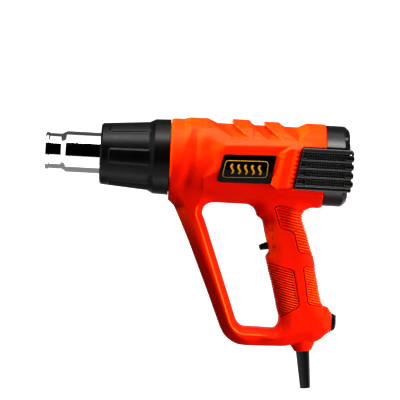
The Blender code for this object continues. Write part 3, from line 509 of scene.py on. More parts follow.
def setCamera():
    camera = bpy.data.objects.new("camera", bpy.data.cameras.new("camera"))
    bpy.context.scene.collection.objects.link(camera)
    camera.data.lens = view["lens"]
    camera.data.sensor_width = 36.0
    camera.data.clip_end = 60.0
    azimuth, elevation = math.radians(view["azimuth"]), math.radians(view["elevation"])
    away = Vector((-math.sin(azimuth) * math.cos(elevation), -math.cos(azimuth) * math.cos(elevation),
                   math.sin(elevation)))
    turn = (-away).to_track_quat("-Z", "Y").to_matrix().to_4x4()
    camera.matrix_world = (Matrix.Translation(Vector(view["target"]) + away * view["distance"])
                           @ turn @ Matrix.Rotation(math.radians(view["roll"]), 4, "Z"))
    bpy.context.scene.camera = camera


orangeSet = bpy.data.collections.new("orange pieces")
restSet = bpy.data.collections.new("other pieces")
studio = {
    "contrast": "High Contrast", "room": 0.2, "roomSheen": 1.0, "floor": 0.24, "floorSheen": 0.9,
    "middle": (-0.08, 0.0, 0.05), "floorHeight": -1.4, "floorReach": 40, "cardHeight": 0.085,
    # Name, power, place, size, and how it differs from a white softbox on everything
    "lamps": (
        ("top softbox", 40.0, (-0.1, -0.18, 1.25), (1.2, 0.8), {"tint": (1.0, 1.6, 1.0), "only": orangeSet}),
        ("top softbox for black", 30.0, (-0.1, -0.18, 1.25), (1.2, 0.8), {"only": restSet}),
        ("top sheen strip", 13.0, (-0.08, -0.49, 1.2), (1.6, 0.45), {"gloss": True}),
        ("low front fill", 8.6, (1.1, -1.1, -0.2), (1.2, 1.0), {"tint": (1.0, 0.15, 0.15), "only": orangeSet}),
        ("low right fill", 3.6, (0.75, -0.55, -0.75), (0.6, 0.6),
         {"aim": (-0.02, 0.0, 0.06), "tint": (1.0, 0.6, 0.3), "only": orangeSet}),
        ("low fill for black", 5.0, (1.1, -1.1, -0.2), (1.2, 1.0), {"only": restSet}),
        ("floor sheen strip", 2.5, (-0.08, -0.3, -1.1), (1.6, 0.4), {"gloss": True, "only": restSet}),
        ("right rim softbox", 14.0, (1.2, -0.28, 0.15), (0.5, 0.8),
         {"tint": (0.9, 1.7, 1.1), "only": orangeSet}),
        ("barrel spot", 340.0, (-1.25, -0.1, 0.42), (6.6, 0.06),
         {"kind": "SPOT", "aim": (-0.04, -0.03, 0.105), "tint": (0.6, 2.2, 1.1), "only": orangeSet})),
    # Name, grey, heights and turns in degrees, distance, and whether polished pieces see it
    "cards": (("black camera card", 0.0, (-20, 56), (-42, 85), 1.5, True),
              ("grey floor card", 0.24, (-88, -30), (90, 270), 0.9, True),
              ("grey back card", 0.1, (10, 66), (90, 270), 0.95, True),
              ("low nose flag", 0.0, (-75, -8), (-130, -35), 0.8, False))}


def whiteFor(tree, soft, sheen):
    # Pure white to look at, dimmer as light on matt surfaces, its own level in polished ones
    path = addNode(tree, "LightPath")
    sheenPart = addNode(tree, "MapRange", {"To Min": soft, "To Max": sheen}, {"Value": path.outputs["Is Glossy Ray"]})
    seenPart = addNode(tree, "MapRange", links={"Value": path.outputs["Is Camera Ray"]})
    return addNode(tree, "Math", {"operation": "MAXIMUM"}, {0: sheenPart, 1: seenPart}).outputs[0]


def lampAt(name, power, location, size, kind="AREA", aim=studio["middle"], tint=(1, 1, 1),
           gloss=False, only=None):
    lamp = bpy.data.lights.new(name, kind)
    lamp.energy, lamp.color = power, tint
    if kind == "AREA":
        lamp.shape, lamp.size, lamp.size_y = "RECTANGLE", size[0], size[1]
    else:
        lamp.spot_size, lamp.spot_blend, lamp.shadow_soft_size = math.radians(size[0]), 0.9, size[1]
    obj = bpy.data.objects.new(name, lamp)
    bpy.context.scene.collection.objects.link(obj)
    obj.location = location
    obj.rotation_euler = (Vector(aim) - Vector(location)).to_track_quat("-Z", "Y").to_euler()
    obj.visible_glossy, obj.visible_diffuse, obj.visible_camera = gloss, not gloss, False
    obj.light_linking.receiver_collection = only


def glowing(objectName, materialName, points, faces, strength):
    # A staged surface that only shines; strength is a level, or a function that wires one up
    glow, tree, _, _ = newMaterial(materialName)
    tree.nodes.clear()
    shine = addNode(tree, "Emission", {"Color": (1, 1, 1, 1)})
    if callable(strength):
        tree.links.new(strength(tree), shine.inputs["Strength"])
    else:
        shine.inputs["Strength"].default_value = strength
    addNode(tree, "OutputMaterial", links={"Surface": shine.outputs[0]})
    mesh = bpy.data.meshes.new(objectName)
    mesh.from_pydata(points, [], faces)
    mesh.materials.append(glow)
    staged = bpy.data.objects.new(objectName, mesh)
    bpy.context.scene.collection.objects.link(staged)
    return staged


def cardAt(name, grey, bands, turns, reach, gloss):
    # Part of a sphere round the barrel. Cameras don't see it, only reflections or only soft light
    ups, turns = np.radians(np.linspace(*bands, 7)), np.radians(np.linspace(*turns, 15))
    points = [(studio["middle"][0] + reach * math.sin(t) * math.cos(u), -reach * math.cos(t) * math.cos(u),
               studio["cardHeight"] + reach * math.sin(u)) for u in ups for t in turns]
    faces = [(i * 15 + j, i * 15 + j + 1, i * 15 + j + 16, i * 15 + j + 15)
             for i in range(6) for j in range(14)]
    flag = glowing(name, name, points, faces, grey)
    flag.visible_camera = flag.visible_transmission = False
    flag.visible_glossy, flag.visible_diffuse, flag.visible_shadow = gloss, not gloss, not gloss


def setStudio():
    scene = bpy.context.scene
    scene.view_settings.view_transform = "Standard"
    scene.view_settings.look = studio["contrast"]
    world = bpy.data.worlds.new("white room")
    world.use_nodes = True
    tree = world.node_tree
    tree.nodes.clear()
    paint = addNode(tree, "Background", {"Color": (1, 1, 1, 1)},
                    {"Strength": whiteFor(tree, studio["room"], studio["roomSheen"])})
    addNode(tree, "OutputWorld", links={"Surface": paint.outputs[0]})
    scene.world = world
    for name, power, location, size, more in studio["lamps"]:
        lampAt(name, power, location, size, **more)
    # A round white floor, far below the tool
    reach, height = studio["floorReach"], studio["floorHeight"]
    rim = [(reach * math.cos(a), reach * math.sin(a), height) for a in np.linspace(0, 2 * math.pi, 65)[:-1]]
    glowing("floor", "matt white floor", rim, [list(range(64))],
            lambda tree: whiteFor(tree, studio["floor"], studio["floorSheen"]))
    for card in studio["cards"]:
        cardAt(*card)


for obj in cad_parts.values():
    restSet.objects.link(obj)
setCamera()
setStudio()
print("camera, light and floor set")


# Orange housing, in two halves
housing = {
    "step": 0.75, "seam": 0.02, "seamGroove": 0.3,
    "strutHalf": 13.0, "gripHalf": 17.0, "strutRound": 7.0, "gripRound": 13.0,
    "panelOut": 36.2, "slotPitch": 3.9, "ribDepth": 1.4, "grooveDepth": 1.3,
    "outer": [(12, -10), (2, -26), (-1, -33), (1.5, -36.5), (5, -42), (9, -50), (20, -73), (30, -96),
              (40, -119), (50, -143), (54, -152), (58, -158), (63, -162), (68, -164.5), (74, -165.3),
              (92, -165), (110, -164.5), (118, -163), (125, -161.5), (133, -160), (140, -158.8), (145, -155.8),
              (147.5, -153), (151, -150), (152.7, -147), (153, -141), (152.7, -134), (150.5, -128.7), (147, -127),
              (145, -126), (142.5, -120), (140, -110), (138, -101), (136, -93), (135, -88), (133, -81),
              (130, -72), (127.5, -64), (124, -55), (122.3, -50), (122, -46), (123.5, -42), (125, -40.2),
              (130, -38), (137, -37), (137, -25), (80, -10)],
    "hole": [(42, -37.7), (36, -39), (32.5, -43), (31.5, -48), (32, -50), (35, -57), (42.5, -77), (50, -97),
             (56, -113), (62, -129), (66, -140), (68.5, -145), (72, -148), (76, -149), (88, -149), (100, -149),
             (103, -147.5), (105.3, -143.5), (105.5, -138), (105, -136.5), (103, -131), (100.5, -121),
             (97, -108), (93.5, -97), (91.5, -89), (90.7, -85), (91.3, -83.2), (93.0, -80.5), (92.5, -77),
             (90, -69), (88, -62), (86.5, -55), (85.5, -52), (83.5, -49.8), (80.5, -48), (79.5, -45),
             (77, -41), (74, -39), (70, -37.7), (56, -37.7)],
    "fairing": [(95, 9.5, 1), (104, 16.5, 2), (107, 17.2, 1), (117.6, 17.6), (110.9, -22.4), (98, -22.8, 2),
                (95, -21.5, 1), (90, -17.5, 1.5)],
    "pod": [(117, 16.6, .5), (160.5, 16.6, .5), (162.5, 12.5, .5), (162.5, -16, .5), (160.5, -20.8, .5),
            (110.6, -20.8, .5)],
    "screws": [(16.5, -45.0), (37.5, -95.0), (60.5, -151.0), (84.0, -157.2), (118.0, -56.0), (131.0, -98.0)],
    # Grip panels: outline, rib spacing
    "panels": [([(95, -39.3, 2), (98.5, -36.4, 2), (125, -41.5), (150, -46), (150, -84.5), (132, -80.6),
                 (126, -79.2, 1), (120.2, -78.6, 1.5), (118.4, -76, 1.5), (114.2, -62.2, 2), (111, -59.6, 2),
                 (103.2, -58, 2), (101, -56, 2)], 2.5),
               ([(80, -86), (91, -88.5), (113.3, -93.6, 2), (116.6, -95.7, 2), (118, -101, 2), (123.2, -125.4, 2),
                 (121.8, -127.8, 2), (108, -136.8, 1.5), (105, -137.4), (80, -137.4)], 2.2),
               ([(124, -92.4, 2), (126, -89.2, 2), (136, -91.6), (155, -96), (155, -128.6), (145, -126.9),
                 (131.2, -124.9, 1.5), (129.6, -122.8, 2)], 2.2)],
}
outerLine = Outline(drawnCurve(housing["outer"], 3), 45)
holeLine = Outline(drawnCurve(housing["hole"], 3), 45)
fairingLine = Outline(roundedPath(housing["fairing"]))
podLine = Outline(roundedPath(housing["pod"]))
panelLines = [(Outline(roundedPath(corners), 6), pitch) for corners, pitch in housing["panels"]]


def bootAxis(x, y, z):
    # Along and away from the cord entry's tilted axis
    return ((x - 133.5) * -0.1253 + (z + 202) * 0.9921,
            np.hypot(y, (x - 133.5) * 0.9921 + (z + 202) * 0.1253))


def slideAxis(x, z):
    # Depth into the grip and height along the switch's slide
    return (x - 91.4) * 0.9578 + (z + 74.8) * 0.2874, (x - 91.4) * -0.2874 + (z + 74.8) * 0.9578


def stripes(value, pitch):
    # Distance from the nearest of a row of lines, one every pitch
    return np.abs(np.mod(value + pitch / 2, pitch) - pitch / 2)


def gripShare(x, z):
    return smoothStep(0, 16, x - np.interp(z, [-150, -60], [88, 66]))


def barrelField(x, y, z):
    r = np.hypot(y, z)
    upper = np.interp(x, [0, 2.5, 11, 17, 50, 52, 72, 75], [34.5, 35.2, 35.3, 36.9, 36.9, 37.7, 37.7, 36.9])
    side = np.interp(x, [0, 2.5, 13, 17, 30, 60, 110, 137], [34.5, 35.2, 35.3, 34.7, 34.6, 35, 35, 36.8])
    lower = np.interp(x, [0, 2.5, 13, 30], [34.5, 35.2, 35.3, 36.8])
    radius = side + (upper - side) * smoothStep(8, 24, z) + (lower - side) * smoothStep(-6, -27, z)
    valley = np.exp(-((x - 14 - (z + 22) * 0.1875) / 4.6) ** 2)
    radius = radius - 1.5 * valley * smoothStep(-30, -20, z) * (1 - smoothStep(23, 31, z))
    barrel = softMax(r - radius, np.maximum(-x, x - 137.5), 0.9)
    # Flat side panel with its sloped edges
    out = housing["panelOut"]
    crease = 14.5 + (x - 45) * 0.043
    panel = softMax(y - out, 0.755 * (y - out) + 0.656 * (z - crease), 0.9)
    panel = softMax(panel, 0.906 * (y - out) - 0.423 * (z + 8), 2.5)
    frontEdge = np.where(z < 10, 35 + (z + 20) * 0.1, 38 + (z - 10))
    panel = softMax(panel, (y - out - (x - frontEdge - 6) * 0.32) * 0.95, 0.9)
    panel = np.maximum(panel, r - np.interp(z, [-27, -14, 16, 25], [36.7, 42, 42, 36.9]))
    panel = np.maximum(panel, np.maximum(x - 137.5, 30 - x))
    body = softMin(barrel, panel, 0.8)
    # Recess along the top, left standing at the two swept fins
    floorTop = np.where(y < 20, np.sqrt(np.maximum(33.2 ** 2 - y * y, 1)), 26.5 - (y - 20) * 0.413)
    wallOut, wallIn = 35 + (33 - z) * 1.08, 40 + (34 - z) * 1.25
    open1 = np.clip((x - wallOut) / np.maximum(wallIn - wallOut, 1), 0, 1)
    open2 = np.clip((125 - x) / 12, 0, 1)
    lift = (1 - open1 * open2) * 6
    level = 34.5 - np.minimum(z, 34.5)
    for start, lean, end, height in ((54, 1.27, 71, 4.5), (82.5, 1.3, 98, 3.6)):
        fin = np.clip(np.minimum((x - start - level * lean) / 0.9 + 0.5, (end + level - x) / 4.0 + 0.5), 0, 1)
        lift = np.maximum(lift, fin * (height + 2 * (y > 12)))
    recess = np.where(z > 10, (z - floorTop - lift) * 0.8, -9)
    body = softMax(body, recess, 0.7)
    # Raised fairing in front of the air intake
    along = (x - 95) * 0.983 - (z - 9.5) * 0.182
    edge = fairingLine.at(x, z)
    height = np.interp(along, [0, 6.5, 13.5, 21, 26], [35.9, 38.5, 38.7, 41.0, 41.4])
    height = np.minimum(height, 36.1 - edge * 1.15)
    fairing = softMax(y - height, edge + 0.2, 0.5)
    slots = stripes(z - 12, housing["slotPitch"]) - 0.72
    slots = inAll(slots, 16.2 - along, np.abs(z + 1.65) - 15.2, 39.2 - y + 0.08 * (along - 16))
    fairing = softMax(fairing, -slots, 0.4)
    body = softMin(body, fairing, 0.5)
    pocket = np.maximum(podLine.at(x, z) - 0.3, 31.1 - y)
    return np.maximum(body, -pocket)


def handleField(x, y, z):
    hole = holeLine.at(x, z)
    outer = outerLine.at(x, z)
    flat = softMax(outer, -hole, 1.0)
    share = gripShare(x, z)
    half = housing["strutHalf"] + (housing["gripHalf"] - housing["strutHalf"]) * share
    half = half + 2.5 * smoothStep(-46, -30, z) * (1 - share)
    edge = housing["strutRound"] + (housing["gripRound"] - housing["strutRound"]) * share
    a, b = flat + edge, y - half + edge
    handle = np.minimum(np.maximum(a, b), 0) + np.hypot(np.maximum(a, 0), np.maximum(b, 0)) - edge
    slope = ((y - half) + (5.6 - hole) * 0.7) * 0.82 - 12 * share
    handle = softMax(handle, slope, 0.9)
    # The strut's front is a blunt nose, steeper than a plain round
    nose = ((y - half) + (8.5 + outer) * 1.15) * 0.66 - 14 * np.maximum(share, smoothStep(62, 106, x))
    handle = softMax(handle, nose, 2.0)
    away = np.hypot(y, z + 141)
    boss = inAll(away - 9.2, x - 152.9, 140 - x)
    return softMin(handle, boss, 1.5), away


def housingField(x, y, z):
    barrel = barrelField(x, y, z)
    handle, dial = handleField(x, y, z)
    fillet = 3.0 + 8.0 * smoothStep(45, 20, x) * smoothStep(-60, -40, z)
    whole = softMin(barrel, handle, fillet)
    whole = np.maximum(whole, -x)
    neck = inAll(np.hypot(y, z) - 30.4, -8.8 - x, x - 5)
    whole = np.minimum(whole, neck)
    along, away = bootAxis(x, y, z)
    cone = inAll(away - np.interp(along, [34, 41, 60], [7.6, 11.4, 11.4]), 34.3 - along, along - 50)
    whole = softMin(whole, cone, 0.8)
    whole = softMax(whole, -np.maximum(away - 6.6, along - 38), 0.4)
    depth, height = slideAxis(x, z)
    pocket = inAll(y - 6.7, np.abs(depth + 4.2) - 10, np.abs(height - 8.5) - 14.7)
    whole = softMax(whole, -pocket, 0.4)
    return softMax(whole, -np.maximum(dial - 3.5, 143 - x), 0.3)


def rightField(x, y, z):
    whole = housingField(x, y, z)
    for sx, sz in housing["screws"]:
        whole = softMax(whole, -np.maximum(np.hypot(x - sx, z - sz) - 3.4, 9.0 - y), 0.5)
    return whole


def housingRelief(points):
    # How far the skin is pushed in at each point: ribbed grips, their grooves, and the seams
    x, y, z = points.T
    depth = housing["seamGroove"] * (1 - smoothStep(housing["seam"], 0.75, y))
    for line, pitch in panelLines:
        edge = line.at(x, z)
        ribs = 0.5 - 0.5 * np.cos(2 * math.pi * (z + x * 0.2) / pitch)
        depth = np.maximum(depth, housing["ribDepth"] * ribs * smoothStep(-1.5, -2.3, edge))
        depth = np.maximum(depth, housing["grooveDepth"] * (1 - smoothStep(0.25, 0.75, np.abs(edge + 0.5))))
    return depth


def housingShadeAndHighlight(points, relief):
    # Painted shade in the deep grooves, the seam and the slots; painted highlight on the opening's crease and on the
    # palm side's ribs
    x, y, z = points[:, 0], np.abs(points[:, 1]), points[:, 2]
    along = (x - 95) * 0.983 - (z - 9.5) * 0.182
    slots = (stripes(z - 12, housing["slotPitch"]) < 0.95) & (along > 15.9) & (along < 22)
    slots &= (np.abs(z + 1.65) < 15.4) & (y > 38)
    paintedHighlight = np.exp(-((holeLine.at(x, z) - 5.6) / 0.5) ** 2) * (1 - gripShare(x, z)) * (y > 8)
    paintedHighlight *= (z < -42) & (x < 96)
    for line, _ in panelLines:
        palm = 0.55 * (line.at(x, z) < -1.8) * smoothStep(0.55, 0.1, relief) * smoothStep(106, 117, x)
        paintedHighlight = np.maximum(paintedHighlight, palm)
    return relief / housing["grooveDepth"] + 0.9 * slots, paintedHighlight


def refined(points, quads):
    # Splits the faces of the ribbed panels, where the ribs need a closer mesh
    near = np.full(len(points), False)
    for line, _ in panelLines:
        near |= line.at(points[:, 0], points[:, 2]) < 1.2
    near &= (points[:, 0] > 88) & (points[:, 2] < -33)
    mesh = rawMesh("scratch", points, quads)
    work = bmesh.new()
    work.from_mesh(mesh)
    work.verts.ensure_lookup_table()
    chosen = {e for f in work.faces if all(near[v.index] for v in f.verts) for e in f.edges}
    bmesh.ops.subdivide_edges(work, edges=list(chosen), cuts=1, use_grid_fill=True)
    bmesh.ops.triangulate(work, faces=[f for f in work.faces if len(f.verts) > 4])
    work.to_mesh(mesh)
    work.free()
    return mesh


def buildHousing():
    low = (-9.6, housing["seam"], -170.0)
    high = (154.5, 43.0, 39.5)
    step = housing["step"]
    for side, word in ((-1, "left"), (1, "right")):
        field = housingField if side < 0 else rightField
        points, quads = surfaceNet(sampled(field, low, high, step), low, step)
        mesh = refined(points, quads)
        count = len(mesh.vertices)
        points = np.zeros(count * 3)
        mesh.vertices.foreach_get("co", points)
        points = points.reshape(-1, 3)
        pinned = points[:, 1] < housing["seam"] + step
        firstRow = pinned & (points[:, 1] < housing["seam"] + step * 0.999)
        points[firstRow, 1] = housing["seam"]
        points, outward = settle(field, points, 2, firstRow)
        relief = housingRelief(points)
        points -= outward * relief[:, None]
        if side < 0:
            points[:, 1] *= -1
        mesh.vertices.foreach_set("co", (points * 0.001 + toolZero).ravel())
        mesh.update()
        if side < 0:
            mesh.flip_normals()
        mesh.polygons.foreach_set("use_smooth", np.ones(len(mesh.polygons), bool))
        mesh.name = "housing_shell_" + word
        tint(mesh, *housingShadeAndHighlight(points, relief))
        place("housing_shell_" + word, mesh, orangeAbs, "housing", "orange_abs", "housing_" + word)
        print("housing half", word, len(mesh.polygons), "faces")


buildHousing()

# Black collar, steel nozzle and rear cap
collar = {"steps": 240, "padProud": 0.95, "padHalf": 6.2, "padFront": -54.5, "padRear": -18.0,
          "skin": [(-62.5, 19.8), (-62.5, 25.9, 1.2), (-61.0, 27.5, 1.2), (-19.5, 30.7, 3),
                   (-14.2, 33.5, 2.5), (-0.45, 34.0, 0.3),
                   (-0.45, 31.4), (-9.0, 31.2), (-9.8, 28.2), (-20, 28.0), (-60, 24.6), (-60.4, 19.8)]}


def collarRelief(along, angle, outward):
    step60 = math.radians(60)
    sideways = np.abs(np.mod(angle, step60) - step60 / 2) * 29
    pad = (smoothStep(collar["padHalf"] + 0.35, collar["padHalf"] - 0.5, sideways)
           * smoothStep(collar["padFront"] - 0.4, collar["padFront"] + 0.5, along)
           * smoothStep(collar["padRear"] + 1.5, collar["padRear"] - 3.0, along))
    corner = smoothStep(0.0, 1.6, along - collar["padFront"] + (collar["padHalf"] - sideways) * 1.2)
    return -collar["padProud"] * pad * corner * (outward > 0.7)


turnedPiece("heat_collar", collar, 0.7, blackAbs, "housing", "black_abs", "front_collar", collarRelief)

nozzle = {"steps": 160,
          "skin": [(-40, 17.8), (-92.9, 17.8, 2), (-97.0, 15.3, 2), (-108.6, 15.3), (-109.6, 15.6),
                   (-111.4, 15.3, .4), (-112.0, 15.9, .3), (-111.4, 16.75, .5), (-109.0, 16.8, .5),
                   (-107.9, 16.0, .4), (-97.6, 16.0, 1.5),
                   (-93.2, 18.5, 1.5), (-40, 18.5)]}
turnedPiece("steel_nozzle", nozzle, 2.5, brightSteel, "housing", "bright_steel", "nozzle_tube", arc=7)

rearCap = {"step": 0.7, "radius": 36.2, "front": 137.8, "rear": 159.5, "screwRadius": 31.0,
           "screwAngles": (42, 138, 222, 318)}


def rearCapField(x, y, z):
    r = np.hypot(y, z)
    skin = softMax(r - rearCap["radius"], x - rearCap["rear"], 0.8)
    skin = softMax(skin, (x - 155.6) * 0.64 + (r - 35.7) * 0.77, 1.0)
    skin = softMax(skin, rearCap["front"] - x, 0.5)
    hollow = inAll(r - 33.6, x - 157.0, (x - 151) * 0.8 + (r - 33.6) * 0.6)
    whole = np.maximum(skin, -hollow)
    for angle in rearCap["screwAngles"]:
        turn, radius = math.radians(angle), rearCap["screwRadius"]
        away = np.hypot(np.abs(y) - abs(radius * math.sin(turn)), z - radius * math.cos(turn))
        whole = softMin(whole, inAll(away - 5.0, 139.8 - x, x - 157.5), 0.3)
        whole = softMax(whole, -np.maximum(away - 3.4, 149.8 - x), 0.5)
    return softMax(whole, -np.maximum(podLine.at(x, z) - 0.3, 31.1 - np.abs(y)), 0.4)


def build(name, field, low, high, step, finish, body, slot, *replaced, side=1, rounds=2, paintedLight=None):
    points, quads = surfaceNet(sampled(field, low, high, step), low, step)
    points, _ = settle(field, points, rounds)
    # The optional function gives each point a painted shade and a painted highlight
    marks = paintedLight(*points.T) if paintedLight else None
    points, faces = flipped(points, [quads], side)
    mesh = meshFrom(name, points, *faces)
    if marks:
        tint(mesh, *marks)
    print(name, len(quads), "faces")
    return place(name, mesh, finish, body, slot, *replaced)


build("barrel_end_cap", rearCapField, (137.0, -37.5, -37.5), (160.5, 37.5, 37.5), rearCap["step"], capAbs,
      "housing", "black_abs", "rear_cap")
print("collar, nozzle and cap made")


# Air intakes on both sides
intake = {"step": 0.45, "slatStep": 0.35, "inner": 31.4, "rows": (8.8, 1.3, -6.2, -13.7), "windowHalf": 2.25,
          "windowFrom": 120.6, "windowTo": 154.5, "slatPitch": 2.2}


def grilleField(x, y, z):
    edge = podLine.at(x, z)
    # Outer face: a flat top bar, four hooded rows under it, a plain band below
    rowFace = np.full(x.shape, 41.9, np.float32)
    for row in intake["rows"]:
        rise = (z - row) / 3.75
        lip = 0.35 * smoothStep(-0.45, -0.8, rise) * smoothStep(-1.0, -0.85, rise)
        hood = 41.6 - 0.9 * smoothStep(0.1, 1.0, np.abs(rise)) + lip
        rowFace = np.where(np.abs(rise) < 1.0, hood, rowFace)
    face = y - rowFace
    body = softMax(softMax(face, edge, 1.3), intake["inner"] - y, 0.4)
    rear = x - 160.6 - 1.9 * np.sqrt(np.maximum(0, 1 - np.minimum(np.abs(z - 14.2), 4) ** 2 / 7))
    for row in intake["rows"]:
        rear = np.minimum(rear, x - 160.6 - 1.9 * np.sqrt(np.maximum(0, 1 - (z - row - 0.2) ** 2 / 8)))
    body = softMax(body, rear, 0.4)
    groove = np.maximum(np.abs(z - 12.3) - 0.5, 40.2 - y)
    body = softMax(body, -groove, 0.4)
    hollow = inAll(edge + 2.0, y - 40.0, 29 - y)
    body = np.maximum(body, -hollow)
    for row in intake["rows"]:
        front = intake["windowFrom"] + (row - 8.8) * 0.1
        window = inAll(front - x, x - intake["windowTo"], np.abs(z - row) - intake["windowHalf"], 38.0 - y)
        body = softMax(body, -window, 0.35)
    return body


def slatField(x, y, z):
    # Upright slats behind the windows with one cross bar per row, on a woven dust screen
    slats = np.abs(np.mod(x - 121.6, intake["slatPitch"]) - intake["slatPitch"] / 2) - 0.42
    slats = np.maximum(slats, 38.35 - y)
    bars = np.full(x.shape, 9.0, np.float32)
    for row in intake["rows"]:
        bars = np.minimum(bars, np.abs(z - row + 0.3) - 0.34)
    rims = 17.2 - np.abs(x - 138.5)
    for row in intake["rows"]:
        rims = np.minimum(rims, np.abs(np.abs(z - row) - 3.2) - 0.45)
    body = np.minimum(np.maximum(slats, y - 39.45), np.maximum(np.minimum(bars, rims), y - 39.3))
    body = np.maximum(np.minimum(body, y - 38.75), 38.3 - y)
    return np.maximum(body, np.maximum(np.abs(x - 138.5) - 19.0, np.abs(z + 2.05) - 16.1))


def grilleShadeAndHighlight(x, y, z):
    # Painted shade deeper in the windows; painted highlight on the top bar, under each hood's lip and along the
    # bottom edge
    paintedHighlight = 0.35 * smoothStep(12.9, 13.6, z)
    for row in intake["rows"]:
        paintedHighlight = np.maximum(paintedHighlight, np.exp(-((z - row + 2.9) / 0.42) ** 2))
    paintedHighlight = np.maximum(paintedHighlight, 0.8 * smoothStep(-19.3, -20.2, z))
    return smoothStep(40.6, 39.4, y), paintedHighlight * smoothStep(40.4, 41.0, y)


def slatShade(x, y, z):
    # Painted shade on the screen's floor between the slats
    return smoothStep(39.3, 38.9, y), np.zeros(len(x))


for side, word in ((-1, "left"), (1, "right")):
    build("side_intake_" + word, grilleField, (109.5, 30.8, -22.0), (163.6, 43.0, 17.6), intake["step"],
          grilleAbs, "housing", "gloss_black", "intake_grille_" + word, side=side, paintedLight=grilleShadeAndHighlight)
    build("intake_slats_" + word, slatField, (119.0, 38.0, -18.6), (158.2, 40.0, 14.6), intake["slatStep"],
          screenNylon, "housing", "screen", "dust_screen_" + word, side=side, rounds=1, paintedLight=slatShade)
print("air intakes made")


# Name plates with a plain hot air mark in gold
plate = {"lift": 0.95, "step": 0.5,
         "outline": [(47.3, 7.0, 3), (94.0, 8.4, 1), (89.6, -17.4, 1), (42.2, -18.3, 3)],
         "frame": [(49.5, 1.6, 3.2), (86.8, 2.6, 3.2), (86.0, -11.6, 3.2), (46.6, -13.4, 3.2)],
         "frameWidth": 0.75, "waves": 5, "waveWidth": 1.9}
plateLine = Outline(roundedPath(plate["outline"]), 4)


def plateField(x, y, z):
    skin = barrelField(x, y, z)
    return softMax(softMax(skin - plate["lift"], plateLine.at(x, z), 0.6), -skin - 0.5, 0.2)


def heightOver(points, lift):
    # Finds y on the skin for each (x, z), then stands it off by lift
    p = np.asarray(points, float)
    low, high = np.full(len(p), 5.0), np.full(len(p), 44.0)
    for _ in range(26):
        middle = (low + high) / 2
        inside = housingField(p[:, 0], middle, p[:, 1]) < 0
        low, high = np.where(inside, middle, low), np.where(inside, high, middle)
    return low + lift


def ribbon(name, path, width, lift, thick, finish, side, body, slot, closed=False):
    # A raised line with rounded shoulders that lies on the skin along the path
    path = evenly(path, 0.8, closed)
    count = len(path)
    across = sidewaysOf(path, closed)
    base = heightOver(path, lift)
    taper = np.ones(count)
    if not closed:
        run = np.minimum(np.arange(count), np.arange(count)[::-1]) * 0.8
        taper = np.sqrt(np.clip(run / (width / 2) * (2 - np.minimum(run / (width / 2), 1)), 0.04, 1))
    section = [(-0.5, -0.3), (-0.5, 0.55), (-0.42, 0.85), (-0.2, 1.0),
               (0.2, 1.0), (0.42, 0.85), (0.5, 0.55), (0.5, -0.3)]
    rings = []
    for s, h in section:
        spot = path + across * (s * width * taper)[:, None]
        rings.append(np.stack([spot[:, 0], base + h * thick, spot[:, 1]], 1))
    points = np.stack(rings, 1).reshape(-1, 3)
    k = len(section)
    groups = [gridQuads(count, k, closed)]
    if not closed:
        groups.append(np.array([list(range(k))[::-1], [(count - 1) * k + m for m in range(k)]]))
    points, groups = flipped(points, [g[:, ::-1] for g in groups], side)
    return place(name, meshFrom(name, points, *groups), finish, body, slot)


for side, word in ((-1, "left"), (1, "right")):
    build("name_plate_" + word, plateField, (40.0, 28.0, -20.5), (96.5, 40.0, 10.5), plate["step"], glossBlack,
          "housing", "gloss_black", "badge_" + word, side=side)
    ribbon("plate_line_" + word, roundedPath(plate["frame"], steps=6), plate["frameWidth"],
           plate["lift"] - 0.05, 0.16, goldInk, side, "housing", "gloss_black", closed=True)
    for k in range(plate["waves"]):
        x0 = 55.2 + 6.1 * k
        wave = [(x0 + 1.25 * math.sin(t * 2 * math.pi) + (t - 0.5) * 1.2, -9.6 + 8.4 * t)
                for t in np.linspace(0, 1, 17)]
        ribbon("heat_wave_%s_%d" % (word, k + 1), wave, plate["waveWidth"], plate["lift"] - 0.05, 0.18,
               goldInk, side, "housing", "gloss_black")
print("name plates made")


# Slide switch, its track and its position marks
switch = {"knobStep": 0.35, "trackStep": 0.45, "ribPitch": 1.1,
          "marks": (("two", 93.6, -59.2), ("one", 95.4, -66.6), ("off", 97.4, -74.0))}


def knobField(x, y, z):
    depth, height = slideAxis(x, z)
    wide = np.abs(y) - 3.2
    tall = np.abs(height) - np.interp(depth, [-7.3, -1.5, 0], [2.35, 3.2, 3.3])
    shape = softMax(softMax(softMax(-7.3 - depth, depth - 4.4, 0.3), tall, 1.4), wide, 1.2)
    grooves = stripes(height, switch["ribPitch"]) - 0.2
    return softMax(shape, -np.maximum(grooves, depth + 6.85), 0.3)


def trackField(x, y, z):
    depth, height = slideAxis(x, z)
    tall = np.abs(height - 8.5) - 14.3
    body = softMax(softMax(np.abs(depth - 1.9) - 0.85, tall, 0.6), np.abs(y) - 6.3, 0.8)
    slot = np.maximum(np.abs(y) - 3.7, np.abs(height - 7.5) - 11.4)
    return softMax(body, -slot, 0.4)


build("slide_knob", knobField, (82.0, -4.5, -82.0), (97.5, 4.5, -68.0), switch["knobStep"], grilleAbs,
      "switch", "black_abs", "switch_knob")
build("slide_track", trackField, (82.0, -7.5, -82.5), (96.0, 7.5, -50.0), switch["trackStep"], grilleAbs,
      "housing", "black_abs", "switch_track")
for side, word in ((-1, "left"), (1, "right")):
    for mark, mx, mz in switch["marks"]:
        # The marks are raised and coloured darker orange as painted shade
        ring = [(mx + 1.15 * math.cos(a), mz + 1.6 * math.sin(a)) for a in np.linspace(0, 2 * math.pi, 15)[:-1]]
        if mark == "off":
            ribbon("mark_off_" + word, ring, 0.6, 0, 0.35, paintedShadeOrange, side,
                   "housing", "orange_abs", closed=True)
            continue
        for k, shift in enumerate((0.0,) if mark == "one" else (-1.0, 1.0)):
            bar = [(mx + shift - 0.45, mz + 1.7), (mx + shift + 0.45, mz - 1.7)]
            ribbon("mark_%s_%s_%d" % (mark, word, k + 1), bar, 0.7, 0, 0.35, paintedShadeOrange, side,
                   "housing", "orange_abs")
print("switch made")


